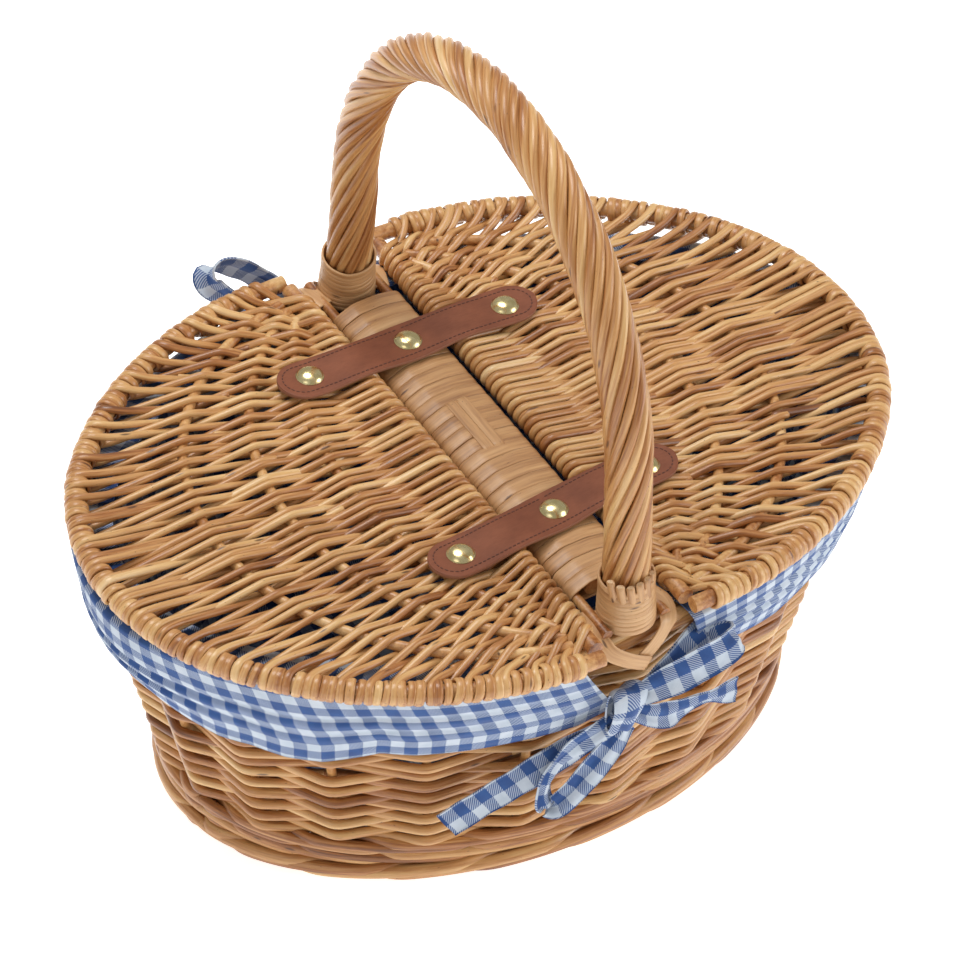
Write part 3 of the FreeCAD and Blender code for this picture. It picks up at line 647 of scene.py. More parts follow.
def make_wall(name, low, high, seed):
    """Plain weave: each row goes in front of one stake and behind the next."""
    rods = Rods(seed)
    rng = rods.rng
    rows = int(round((high - low) / ROW_PITCH))
    for row in range(rows):
        height = low + (row + 0.5) * ROW_PITCH
        inside = row % 2
        start = inside + 2 * int(rng.integers(0, STAKES // 2))
        lengths = []
        while sum(lengths) < STAKES:
            left = STAKES - sum(lengths)
            length = min(left, 2 * int(rng.integers(4, 8)))
            lengths.append(length if left - length >= 4 else left)
        for length in lengths:
            steps = np.concatenate([[-0.12], np.arange(length + 1), [length + 0.12]])
            turn = math.radians(STAKE_START) + (start + steps) * STAKE_TURN
            wave = 1 - 2 * np.abs((steps % 2) - 1)
            level = height + rng.normal(0, 0.45, len(steps))
            line = soften(even(wall_line(turn, level, WALL_MIDDLE + ROW_SWING * wave), 2.6), 2)
            width = np.linspace(rng.uniform(4.8, 5.4), rng.uniform(4.4, 5.0), len(line))
            rods.add(line, UP, width)
            start += length
    return rods.make(name, BODY_WILLOW)


def make_waling(rods, height, middle, swing, climb, width, hand=1):
    """Three rods twined round the stakes: each runs in front of two and behind one, with a slope."""
    rng = rods.rng
    for first in range(3):
        steps = np.arange(0, STAKES, 1 / 14)
        phase = (steps - first) % 3
        behind = np.minimum(phase, 3 - phase)
        offset = middle + swing * (2 * smooth_step(behind / 0.75) - 1)
        back = np.where(phase > 1.5, phase - 3, phase)
        slope = np.where(behind < 0.5, back * 2.0 * hand, (1.5 - phase) * hand)
        level = height + climb * soften(slope[:, None], 4, closed=True)[:, 0]
        turn = math.radians(STAKE_START) + steps * STAKE_TURN
        line = soften(wall_line(turn, level, offset), 2, closed=True)
        wobble = width * (1 + 0.04 * np.sin(steps * 1.7 + rng.uniform(0, 6)))
        rods.add(line, UP, wobble, closed=True)


def make_bodywork():
    lower = make_wall("side_weave_lower", WALL_LOW, WALL_SPLIT, 31)
    upper = make_wall("side_weave_upper", WALL_SPLIT, WALL_TOP, 32)
    waling = Rods(33)
    for height, width in WALINGS:
        make_waling(waling, height, WALL_MIDDLE, 4.0, 2.4, width)
    bottom = waling.make("side_waling", BODY_WILLOW)
    foot = Rods(34)
    make_waling(foot, FOOT[0], -2.5, 3.4, 2.2, FOOT[1], -1)
    border = foot.make("foot_border_rods", BODY_WILLOW)
    settle(lower, "basket", "body_willow", "side_weave")
    settle(upper, "basket", "body_willow")
    settle(bottom, "basket", "body_willow")
    settle(border, "basket", "body_willow", "foot_border")


make_bodywork()


# ---- base and rim

STICKS = np.array([-68.0, -34.0, 0.0, 34.0, 68.0])
MAT_HEIGHT = 6.5
MAT_PITCH = 4.1
RIM_HEIGHT = 150.3
RIM_STRANDS = 4


def make_base_mat():
    """Base weave: rods across the basket, over and under its long sticks."""
    rods = Rods(41)
    rng = rods.rng
    half_length, half_width = BASE_HALF - 10.5
    count = int(2 * half_length / MAT_PITCH)
    for number in range(count):
        x = -half_length + (number + 0.5) * 2 * half_length / count
        reach = half_width * math.sqrt(1 - (x / half_length) ** 2)
        if reach < 12:
            continue
        crossings = STICKS[np.abs(STICKS) < reach - 6]
        sign = 1 if number % 2 else -1
        places = np.concatenate([[-reach], crossings, [reach]])
        heights = sign * (-1.0) ** np.arange(len(crossings)) * 3.2
        heights = np.concatenate([[0.0], heights, [0.0]])
        y = np.arange(-reach, reach, 2.5)
        level = MAT_HEIGHT + np.interp(y, places, heights)
        line = np.column_stack([x + wander(rng, len(y), 0.3), y, level])
        rods.add(soften(line, 3), (1, 0, 0), rng.uniform(3.5, 4.1), 2.6)
    settle(rods.make("base_mat_weave", BODY_WILLOW), "basket", "body_willow", "base_mat")


def make_rim():
    """Rolled border round the mouth: four rods twisted round one another."""
    rods = Rods(42)
    turn = np.linspace(0, 2 * math.pi, 520, endpoint=False)
    for strand in range(RIM_STRANDS):
        twist = 8 * turn + strand * math.pi / 2
        height = RIM_HEIGHT + 3.6 * np.sin(twist)
        line = wall_line(turn, height, -5.6 + 3.3 * np.cos(twist))
        rods.add(line, UP, 6.0, closed=True)
    settle(rods.make("rim_border_rods", BODY_WILLOW), "basket", "body_willow", "rim_border")


make_base_mat()
make_rim()


# ---- handle

STRANDS = 12
STRAND_RING = 8.6
FOOT_PITCH = 200.0
CROWN_PITCH = 84.0


def rounded(before, corner, after, count=40):
    """Arc that rounds a corner whose two sides are equally long."""
    before, corner, after = (np.array(point, float) for point in (before, corner, after))
    arrive, leave = unit(corner - before), unit(after - corner)
    half = math.acos(float(arrive @ leave)) / 2
    radius = np.linalg.norm(corner - before) / math.tan(half)
    centre = corner + unit(leave - arrive) * radius / math.cos(half)
    share = np.linspace(0, 1, count)[:, None]
    spokes = np.sin((1 - share) * 2 * half) * (before - centre) + np.sin(share * 2 * half) * (after - centre)
    return centre + spokes / math.sin(2 * half)


def handle_line():
    """Centre line of the handle from the front foot to the back one."""
    foot, shoulder, crown = (np.array(point) for point in (HANDLE_FOOT, SHOULDER, CROWN_CORNER))
    slope = unit(crown - shoulder)
    crown_start = crown - slope * CROWN_CORNER[0]
    reach = np.linalg.norm(crown_start - shoulder)
    leg_end = shoulder - unit(shoulder - foot) * reach
    top = np.array([0.0, CROWN_CORNER[1]])
    half = np.vstack([foot[None], rounded(leg_end, shoulder, crown_start), rounded(crown_start, crown, top)])
    other = half[::-1][1:] * (-1, 1)
    both = np.vstack([half, other])
    line = np.column_stack([np.zeros(len(both)), -both[:, 0], both[:, 1]])
    return even(line, 2.2)


def make_handle():
    """Roping: twelve rods twisted round the core, more steeply over the crown than near the feet."""
    rods = Rods(51)
    rng = rods.rng
    line = handle_line()
    tangent = unit(np.gradient(line, axis=0))
    across = np.array([1.0, 0, 0])
    up = np.cross(tangent, across)
    count = len(line)
    far = np.abs(np.linspace(-1, 1, count))
    pitch = CROWN_PITCH + (FOOT_PITCH - CROWN_PITCH) * far
    gap = np.linalg.norm(line[1] - line[0])
    turn = np.concatenate([[0], np.cumsum(2 * math.pi * gap / pitch)[:-1]])
    for strand in range(STRANDS):
        angle = turn + strand * 2 * math.pi / STRANDS + wander(rng, count, 0.03, 5)
        ring = STRAND_RING + wander(rng, count, 0.16, 6) + rng.normal(0, 0.15)
        out = np.cos(angle)[:, None] * across + np.sin(angle)[:, None] * up
        path = line + ring[:, None] * out
        width = rng.uniform(4.5, 5.0) * (1 + wander(rng, count, 0.02, 5))
        side = np.cross(tangent, out)
        rods.add(path, side, width, rng.uniform(5.2, 5.7), tone=rng.normal(0.48, 0.07))
    settle(rods.make("handle_strands", RAW_WILLOW), "basket", "willow", "handle_roping")


BINDING_TURNS = 10
BINDING_STUBS = 6
# The direction round the foot that its binding is lowest towards.
BINDING_FACING = math.radians(237)


def make_binding(side, word, seed):
    """Flat willow skein wound tightly round one foot of the handle."""
    rods = Rods(seed, sides=12)
    rng = rods.rng
    foot = np.array([0, side * HANDLE_FOOT[0], HANDLE_FOOT[1]])
    shoulder = np.array([0, side * SHOULDER[0], SHOULDER[1]])
    leg = unit(shoulder - foot)
    across = np.array([1.0, 0, 0])
    up = np.cross(leg, across)
    for number in range(BINDING_TURNS):
        share = number / (BINDING_TURNS - 1)
        turn = np.linspace(0, 2 * math.pi, 64, endpoint=False)
        away = np.abs(np.mod(turn - BINDING_FACING + math.pi, 2 * math.pi) - math.pi) / math.pi
        flare = 12.4 + 0.9 * (1 - share) ** 2 + 0.1 * np.sin(2 * turn + number)
        climb = 2.4 + number * 2.45 + 0.4 * np.sin(turn + 1.0) + 4.0 * share * (away - 0.4)
        ring = flare[:, None] * (np.cos(turn)[:, None] * across + np.sin(turn)[:, None] * up)
        line = foot + ring + climb[:, None] * leg
        rods.add(line, leg, rng.uniform(2.7, 3.0), 1.3, closed=True, square=0.6,
                 tone=rng.normal(0.72, 0.05))
    if side < 0:
        for number in range(BINDING_STUBS):
            angle = math.radians(-150 + 21 * number)
            out = math.cos(angle) * across + math.sin(angle) * np.array([0, 1.0, 0])
            low = foot + out * 11.6 + leg * 19
            high = foot + out * 12.6 + leg * (30 + rng.uniform(-1.5, 1.0)) - across * 1.6
            stub = even([low, high], 2)
            rods.add(stub, np.cross(leg, out), rng.uniform(3.9, 4.5), 3.2, tone=rng.normal(0.6, 0.08))
    binding = rods.make(f"handle_binding_{word}_skein", CANE)
    settle(binding, "basket", "cane", f"handle_binding_{word}")


def smooth_path(points, step=1.5):
    """Evenly spaced line that runs smoothly through a few points."""
    points = np.asarray(points, float)
    ends = np.vstack([2 * points[0] - points[1], points, 2 * points[-1] - points[-2]])
    pieces = []
    for index in range(1, len(ends) - 2):
        a, b, c, d = ends[index - 1:index + 3]
        t = np.linspace(0, 1, 16, endpoint=index == len(ends) - 3)[:, None]
        pieces.append(0.5 * (2 * b + (c - a) * t + (2 * a - 5 * b + 4 * c - d) * t**2
                             + (3 * b - a - 3 * c + d) * t**3))
    return even(np.vstack(pieces), step)


# Two cane strips cross on the outside of the basket below each foot: x, distance from the middle, z.
LASHINGS = (
    ((15.5, 119, 163.0), (17.8, 130, 163.2), (15.8, 137.2, 159.4), (10.5, 140.8, 154.2),
     (3.0, 142.0, 147.5), (-4.0, 141.4, 142.0)),
    ((-15.0, 119, 161.5), (-18.0, 129, 161.6), (-18.5, 136.4, 159.0), (-15.5, 140.2, 153.4),
     (-7.0, 143.0, 147.5), (2.5, 143.4, 142.0)),
)


def make_lashings(side, word, seed):
    """Flat cane over the rim beside a handle foot, crossing below it."""
    rods = Rods(seed, sides=12)
    for strip in LASHINGS:
        points = np.array([(-side * x, side * y, z) for x, y, z in strip])
        line = smooth_path(points)
        tangent = unit(np.gradient(line, axis=0))
        outward = unit(np.column_stack([0.2 * line[:, 0], line[:, 1], np.zeros(len(line))]))
        lean = smooth_step((line[:, 2] - 156) / 6)[:, None]
        normal = unit(outward * (1 - lean) + UP * lean)
        rods.add(line, np.cross(normal, tangent), 8.0, 1.0, square=0.5, tone=0.72)
    lashing = rods.make(f"foot_lashing_{word}_strips", CANE)
    settle(lashing, "basket", "cane", f"foot_lashing_{word}")


CANE_TONES = (
    (0.0, srgb(116, 74, 42)),
    (0.3, srgb(164, 116, 72)),
    (0.6, srgb(196, 148, 98)),
    (1.0, srgb(220, 178, 128)),
)
CANE = willow("cane_flat", gloss=0.46, stops=CANE_TONES)

make_handle()
for side, word, seed in ((-1, "front", 52), (1, "back", 54)):
    make_binding(side, word, seed)
    make_lashings(side, word, seed + 1)


# ---- bridge

BRIDGE_HALF = 108.0
BAND_PITCH = 8.3
# Cross-section of the bridge as (x, z): it rises to a low ridge on the right of its middle.
BRIDGE_OUTLINE = ((18.4, 160.5), (18.2, 164.2), (16.5, 166.0), (5.5, 168.3), (-7.8, 168.25), (-17.2, 164.1),
                  (-18.4, 161.8), (-18.2, 159.5), (-16.5, 158.3), (16.5, 158.3), (18.2, 159.3))


def make_bridge():
    """Flat cane bands wound across the bridge rods, with two strips laid along the middle."""
    rods = Rods(61, sides=16)
    rng = rods.rng
    count = int(2 * BRIDGE_HALF / BAND_PITCH)
    outline = soften(even(BRIDGE_OUTLINE, 1.4, closed=True), 2, closed=True)
    x, z = outline.T
    outward = unit(np.column_stack([x, np.zeros(len(x)), 3 * (z - 163)]))
    for number in range(count):
        y = -BRIDGE_HALF + (number + 0.5) * 2 * BRIDGE_HALF / count
        slant = 0.05 * x + rng.normal(0, 0.15)
        line = np.column_stack([x, y + slant, z + rng.normal(0, 0.05)])
        rods.add(line, np.array([0, 1.0, 0]) + 0.03 * outward, 8.12, 1.1, closed=True, square=0.55,
                 tone=rng.normal(0.52, 0.08))
    settle(rods.make("bridge_bands", CANE), "basket", "cane", "bridge_cane_wrap")

    strips = Rods(62, sides=16)
    for x, level in ((-2.75, 168.95), (2.75, 169.1)):
        y = np.linspace(-14, 29, 40)
        dive = smooth_step((np.abs(y - 7.5) - 16) / 5)
        line = np.column_stack([np.full(40, x), y, level - 1.7 * dive])
        strips.add(line, (1, 0, 0.06), 5.4, 0.9, square=0.55, tone=0.5)
    settle(strips.make("bridge_inlay", CANE), "basket", "cane", "bridge_inlay_strips")


make_bridge()


# ---- straps and studs

STRAPS = (("front", -63.0, 6.0), ("back", 69.0, 0.0))
STRAP_HALF_LENGTH = 69.0
STRAP_HALF_WIDTH = 12.0
STRAP_MIDDLE = 171.5
STUD_BASE = 172.35
STUD_SPACING = 52.8
STITCH_INSET = 2.8
STITCH, STITCH_PERIOD = 4, 6


def leather():
    s = Shader("leather_brown")
    place = s.attribute("rod", "Vector")
    broad = s.noise(s.stretch(place, 0.08, 0.08, 0.05), 1.0, 3.0)
    colour = s.ramp(broad, ((0.25, srgb(116, 62, 38)), (0.55, srgb(134, 76, 49)), (0.8, srgb(148, 88, 60))))
    pores = s.node("ShaderNodeTexVoronoi", {"Vector": place, "Scale": 1.5}).outputs["Distance"]
    creases = s.noise(s.stretch(place, 0.9, 0.9, 0.25), 1.0, 4.0, 0.6)
    colour = s.mix(s.spread(creases, 0.4, 0.75, 0.0, 0.25), colour, srgb(96, 54, 36))
    height = s.math("ADD", s.math("MULTIPLY", pores, 0.5), creases)
    low = s.math("ABSOLUTE", s.node("ShaderNodeSeparateXYZ", {0: place}).outputs[1])
    colour = s.mix(s.spread(low, 0.6, 0.85, 0.8, 0.0), colour, srgb(158, 112, 90))
    rough = s.spread(creases, 0.3, 0.7, 0.5, 0.6)
    return s.finish(colour, rough, s.bump(height, 0.15, 0.25), Specular_IOR_Level=0.35)


def thread():
    s = Shader("thread_brown")
    twist = s.noise(s.stretch(s.attribute("rod", "Vector"), 3.0, 3.0, 3.0), 1.0)
    colour = s.ramp(twist, ((0.3, srgb(74, 40, 28)), (0.7, srgb(104, 58, 42))))
    return s.finish(colour, 0.7, s.bump(twist, 0.4, 0.1))


def metal(name, low, high, rough):
    s = Shader(name)
    place = s.coordinates()
    stain = s.noise(place, 250.0, 2.0)
    colour = s.ramp(stain, ((0.35, low), (0.65, high)))
    scratches = s.noise(s.stretch(place, 4000, 700, 700), 1.0, 3.0)
    return s.finish(colour, s.spread(stain, 0.3, 0.7, rough - 0.05, rough + 0.08),
                    s.bump(scratches, 0.03, 0.02), Metallic=1.0)


LEATHER = leather()
THREAD = thread()
BRASS = metal("brass_polished", srgb(226, 206, 146), srgb(238, 222, 168), 0.24)
ZINC = metal("zinc_plated", srgb(150, 152, 156), srgb(190, 192, 196), 0.35)


def strap_world(along, across, height, position, turn):
    """Strap points: along it, across it and up from its middle, in the frame."""
    bow = 0.8 * np.sin(along / STRAP_HALF_LENGTH * math.pi)
    x = along * math.cos(turn) - (across + bow) * math.sin(turn)
    y = position + along * math.sin(turn) + (across + bow) * math.cos(turn)
    rise = 0.45 * np.cos(along / STUD_SPACING * 2 * math.pi + math.pi) + 0.1
    return np.column_stack([x, y, STRAP_MIDDLE + rise + height])


def strap_width(along):
    tip = np.clip(np.abs(along) - (STRAP_HALF_LENGTH - STRAP_HALF_WIDTH), 0, STRAP_HALF_WIDTH - 0.05)
    return np.sqrt(STRAP_HALF_WIDTH**2 - tip**2) * (1 + 0.045 * np.cos(along / STUD_SPACING * 2 * math.pi))


def make_strap(word, position, degrees):
    """Both halves of a strap, from its middle to each lid, with their stitching."""
    turn = math.radians(degrees)
    for hand, lid in ((-1, "left_lid"), (1, "right_lid")):
        straight = np.linspace(0, STRAP_HALF_LENGTH - STRAP_HALF_WIDTH, 56)
        tip = STRAP_HALF_LENGTH - STRAP_HALF_WIDTH * (1 - np.sin(np.linspace(0, 0.48 * math.pi, 14)[1:]))
        along = hand * np.concatenate([straight, tip])
        line = strap_world(along, 0.0, 0.0, position, turn)
        side = (-math.sin(turn), math.cos(turn), 0)
        body = Rods(71, sides=40)
        body.add(line, side, 2 * strap_width(along), 2.2, square=0.28, tone=0.5, caps=False)
        half = body.make(f"strap_{word}_{lid}_half", LEATHER)

        reach = STRAP_HALF_LENGTH - STRAP_HALF_WIDTH
        radius = STRAP_HALF_WIDTH - STITCH_INSET
        bend = np.linspace(-math.pi / 2, math.pi / 2, 24)
        outline = [(0, -radius)] + [(reach + radius * math.cos(a), radius * math.sin(a)) for a in bend]
        outline = even(np.array([(*point, 0.0) for point in outline + [(0, radius)]]), 0.4)
        threads = Rods(72, sides=6)
        for start in range(1, len(outline) - STITCH, STITCH_PERIOD):
            dash = outline[start:start + STITCH + 1]
            dip = 0.2 * np.sin(np.linspace(0, math.pi, len(dash)))
            path = strap_world(hand * dash[:, 0], dash[:, 1], 1.0 + dip, position, turn)
            threads.add(path, np.cross(UP, path[-1] - path[0]), 0.6, 0.4, tone=0.5)
        stitching = threads.make(f"strap_{word}_{lid}_stitching", THREAD)
        if hand < 0:
            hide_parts(f"strap_{word}")
        for item in (half, stitching):
            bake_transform(item)


SHANK = 10.0
# A stud's outline as (radius, height), from the top of its head to the end of its shank.
STUD_PROFILE = (
    (0.0, 3.2), (1.3, 3.13), (2.6, 2.92), (3.8, 2.53), (4.9, 1.94), (5.6, 1.3), (6.1, 0.7),
    (6.3, 0.38), (6.6, 0.26), (6.7, 0.08), (6.5, -0.05), (5.9, -0.1), (1.6, -0.1), (1.6, -SHANK),
)


def make_studs(step, body, name, node):
    """Domed rivet heads, turned from one profile."""
    segments = 48
    turn = np.linspace(0, 2 * math.pi, segments, endpoint=False)
    points, quads, fans = [], [], []
    for _, position, degrees in STRAPS:
        angle = math.radians(degrees)
        x = step * STUD_SPACING * math.cos(angle)
        y = position + step * STUD_SPACING * math.sin(angle)
        first = sum(len(group) for group in points)
        rings = []
        for radius, height in STUD_PROFILE[1:]:
            level = np.full(segments, STUD_BASE + height)
            rings.append(np.column_stack([x + radius * np.cos(turn), y + radius * np.sin(turn), level]))
        points.append(np.vstack([[[x, y, STUD_BASE + STUD_PROFILE[0][1]]]] + rings))
        index = first + 1 + np.arange(len(rings) * segments).reshape(len(rings), segments)
        ahead = np.roll(index, -1, 1)
        quads.append(np.stack([index[:-1], index[1:], ahead[1:], ahead[:-1]], 2).reshape(-1, 4))
        fans.append(np.column_stack([np.full(segments, first), index[0], ahead[0]]))
        base = first + len(points[-1])
        points.append(np.array([[x, y, STUD_BASE - SHANK]]))
        fans.append(np.column_stack([np.full(segments, base), ahead[-1], index[-1]]))
    studs = make_mesh(name, np.vstack(points), [np.vstack(quads), np.vstack(fans)])
    studs.data.materials.append(BRASS)
    settle(studs, body, "brass", node)


for word, position, degrees in STRAPS:
    make_strap(word, position, degrees)
make_studs(-1, "left_lid", "left_lid_stud_heads", "left_lid_studs")
make_studs(0, "basket", "bridge_stud_heads", "bridge_studs")
make_studs(1, "right_lid", "right_lid_stud_heads", "right_lid_studs")


# ---- cloth

CLOTH_THICKNESS = 0.8
CHECK = 6.3


class Cloth:
    """Cloth laid over grids of points, thickened and gathered into one mesh."""

    def __init__(self):
        self.points = []
        self.faces = []
        self.cloth = []
        self.count = 0

    def add(self, grid, place, thickness=CLOTH_THICKNESS, closed=False):
        """One grid of rows by columns. Place is the same grid's position in the flat cloth."""
        rows, columns = grid.shape[:2]
        if closed:
            down = np.roll(grid, -1, 0) - np.roll(grid, 1, 0)
        else:
            down = np.gradient(grid, axis=0)
        normal = unit(np.cross(down, np.gradient(grid, axis=1)))
        first = self.count
        index = first + np.arange(rows * columns).reshape(rows, columns)
        under = index + rows * columns
        for sign in (1, -1):
            self.points.append((grid + sign * normal * thickness / 2).reshape(-1, 3))
            face = np.full((rows, columns), float(sign))
            self.cloth.append(np.dstack([place, face]).reshape(-1, 3))
        self.count += 2 * rows * columns

        def quads(at, turn):
            corners = [at[:-1, :-1], at[1:, :-1], at[1:, 1:], at[:-1, 1:]]
            return np.stack(corners, 2).reshape(-1, 4)[:, ::turn]

        if closed:
            wrapped = np.vstack([index, index[:1]])
            wrapped_under = np.vstack([under, under[:1]])
        else:
            wrapped, wrapped_under = index, under
        self.faces += [quads(wrapped, 1), quads(wrapped_under, -1)]
        edges = [(wrapped[:, 0], wrapped_under[:, 0], -1), (wrapped[:, -1], wrapped_under[:, -1], 1)]
        if not closed:
            edges += [(index[0], under[0], 1), (index[-1], under[-1], -1)]
        for upper, lower, turn in edges:
            self.faces.append(np.stack([upper[:-1], lower[:-1], lower[1:], upper[1:]], 1)[:, ::turn])

    def make(self, name, material):
        item = make_mesh(name, np.vstack(self.points), [np.vstack(self.faces)],
                         (("cloth", np.vstack(self.cloth)),))
        item.data.materials.append(material)
        return item


def gingham():
    """Blue and white checks: solid where both threads are blue, twilled where one is."""
    s = Shader("gingham_blue")
    place = s.attribute("cloth", "Vector")
    axes = s.node("ShaderNodeSeparateXYZ", {0: place})
    waver = s.math("MULTIPLY", s.math("SUBTRACT", s.noise(place, 0.05), 0.5), 1.2)
    stripes = []
    for axis in (0, 1):
        shifted = s.math("ADD", axes.outputs[axis], waver)
        wave = s.math("SINE", s.math("MULTIPLY", shifted, math.pi / CHECK))
        stripes.append(s.spread(wave, -0.06, 0.06))
    both = s.math("MULTIPLY", *stripes)
    either = s.math("SUBTRACT", s.math("MAXIMUM", *stripes), both)
    slant = s.math("ADD", axes.outputs[0], axes.outputs[1])
    twill = s.spread(s.math("SINE", s.math("MULTIPLY", slant, 2 * math.pi / 1.3)), -0.3, 0.3)
    share = s.math("ADD", both, s.math("MULTIPLY", either, s.spread(twill, 0.0, 1.0, 0.27, 0.96)))
    fade = s.noise(place, 0.12, 3.0)
    white = s.ramp(fade, ((0.3, srgb(190, 202, 214)), (0.7, srgb(213, 221, 230))))
    blue = s.ramp(fade, ((0.3, srgb(20, 62, 126)), (0.7, srgb(32, 80, 146))))
    warp = s.math("SINE", s.math("MULTIPLY", axes.outputs[0], 2 * math.pi / 0.7))
    weft = s.math("SINE", s.math("MULTIPLY", axes.outputs[1], 2 * math.pi / 0.7))
    threads = s.math("MULTIPLY", warp, weft)
    colour = s.mix(share, white, blue)
    colour = s.mix(s.spread(threads, -1, 1, 0.0, 0.16), colour, srgb(120, 146, 188))
    height = s.math("ADD", threads, s.math("MULTIPLY", s.noise(place, 0.35, 3.0), 2.0))
    return s.finish(colour, 0.85, s.bump(height, 0.3, 0.25), Sheen_Weight=0.15, Sheen_Roughness=0.5)


GINGHAM = gingham()

# The cuff lies over the rim for its first part and hangs outside the wall for the rest.
CUFF_OVER = 16
CUFF_LENGTH = 60.0
CUFF_DEPTH = 76
CUFF_FOLD = 156.4
# Height of the cuff's hem by ellipse angle in degrees, round the basket from the right-hand tip.
HEM = (
    (0, 98), (25, 97), (55, 99), (82, 106), (98, 105), (135, 102), (165, 108), (180, 115), (192, 115),
    (200, 109), (206, 105), (212, 106), (218, 102), (224, 102), (228, 106), (233, 111), (238, 108),
    (256, 107), (262, 107), (280, 126), (287, 123), (297, 116), (305, 117), (320, 111), (340, 102),
    (360, 98),
)
# Two packing creases: how far down the hanging part each one runs.
CREASES = (25.0, 37.0)


def cuff_end(depth, front, hand):
    """Where a cuff ends beside a handle foot, as x at a depth below the fold."""
    wide, narrow = 27.0 + 0.18 * depth, 33.0 - 0.42 * depth
    if hand > 0:
        return wide if front else 22.0
    return -narrow if front else -wide


def make_cuff(hand, word, seed):
    """Half of the cloth turned out over the rim, creased where it was folded in its packing."""
    rng = np.random.default_rng(seed)
    rows, columns = 260, 44
    down = np.linspace(0, 1, columns)
    round_share = np.linspace(0, 1, rows)
    hem_angle, hem_height = np.array(HEM, float).T
    grid = np.zeros((rows, columns, 3))
    crease = [wander(rng, rows, 1.6, 7) for _ in CREASES]
    depth_of = [np.clip(0.7 + wander(rng, rows, 0.35, 6), 0.1, 1.2) for _ in CREASES]
    pucker = wander(rng, rows, 0.35, 14)
    lean = wander(rng, rows, 0.5, 9)
    for column, share in enumerate(down):
        level = share * CUFF_DEPTH
        depth = min(max(0.0, level - CUFF_OVER), 46)
        at_front = -math.acos(cuff_end(depth, True, hand) / (MOUTH_HALF[0] + 3))
        at_back = math.acos(cuff_end(depth, False, hand) / (MOUTH_HALF[0] + 3))
        if hand > 0:
            low, high = at_front, at_back
        else:
            low, high = at_back, 2 * math.pi + at_front
        angles = low + (high - low) * round_share
        hem = np.interp(np.mod(angles, 2 * math.pi), np.radians(hem_angle), hem_height)
        if level < CUFF_OVER:
            turn = level / CUFF_OVER
            offset = np.full(rows, -14.8 + 19.6 * turn) + 0.2 * pucker
            height = np.full(rows, 156.9 + 1.0 * math.sin(min(1, 1.4 * turn) * math.pi / 2))
            height = height - 1.4 * smooth_step((turn - 0.75) / 0.25) + 0.1 * pucker
        else:
            fall = (level - CUFF_OVER) / CUFF_LENGTH
            height = CUFF_FOLD - fall * (CUFF_FOLD - hem)
            stand = 4.5 * np.exp(-((np.degrees(angles) - 187) / 14) ** 2)
            stand = stand * math.sin(math.pi * min(1, 0.15 + 0.8 * fall))
            ripple = 0.6 * pucker * math.sin(math.pi * min(1, fall * 1.2))
            offset = 5.0 + stand + 1.7 * math.sin(math.pi * fall) + ripple + lean * fall
            for number, start in enumerate(CREASES):
                away = (fall * CUFF_LENGTH - start - crease[number]) / 2.3
                offset = offset - 1.9 * depth_of[number] * np.exp(-away**2)
                offset = offset + 0.8 * depth_of[number] * np.exp(-((away - 1.8) ** 2))
            offset = offset + 0.5 * smooth_step((fall - 0.87) / 0.04)
            offset = np.maximum(offset, 2.4)
        grid[:, column] = wall_line(angles, height, offset)
    along = lengths(grid[:, columns // 2])
    run = along[:, None] + 0.06 * down * CUFF_DEPTH
    drop = -down * CUFF_DEPTH + 0.03 * along[:, None]
    cloth = Cloth()
    cloth.add(grid, np.dstack([run, drop]))
    cuff = cloth.make(word + "_cloth", GINGHAM)
    settle(cuff, "basket", "gingham", word)


LINING_TOP = 157.2
LINING_BOTTOM = 12.6


def make_lining():
    """Bag of cloth inside the basket: a wall gathered a little, and a flat bottom."""
    rng = np.random.default_rng(85)
    rows, columns = 300, 40
    turn = np.linspace(0, 2 * math.pi, rows, endpoint=False)
    heights = np.linspace(LINING_TOP, LINING_BOTTOM, columns)
    ripple = sum(rng.normal(0, 0.5) * np.sin(k * turn + rng.uniform(0, 6)) for k in range(6, 30)) * 0.5
    grid = np.zeros((rows, columns, 3))
    for column, height in enumerate(heights):
        share = (LINING_TOP - height) / (LINING_TOP - LINING_BOTTOM)
        inset = 15.0 + (1.2 + ripple) * math.sin(math.pi * min(1, share * 1.02)) ** 0.6
        inset = inset + 5.0 * smooth_step((share - 0.93) / 0.07)
        grid[:, column] = wall_line(turn, height, -np.maximum(inset, 14.5))
    wall = Cloth()
    length = 2.86 * (MOUTH_HALF[0] + MOUTH_HALF[1])
    place = np.dstack(np.broadcast_arrays((turn * length / 6.283)[:, None], heights))
    wall.add(grid, place, closed=True)
    side = wall.make("lining_wall", GINGHAM)
    settle(side, "basket", "gingham", "lining_bag")

    shares = np.linspace(1, 0.02, 34)
    axes = half_axes(12.4, -19.4)
    wave = 0.4 * np.sin(5 * turn)[:, None] * np.sin(shares * 9)
    x = axes[0] * np.cos(turn)[:, None] * shares
    y = axes[1] * np.sin(turn)[:, None] * shares
    floor = Cloth()
    floor.add(np.dstack([x, y, LINING_BOTTOM + wave]), np.dstack([x, y]), closed=True)
    bottom = floor.make("lining_bottom", GINGHAM)
    settle(bottom, "basket", "gingham")


TIE = 14.0
KNOT_OUT, KNOT_HEIGHT = 143.0, 121.0
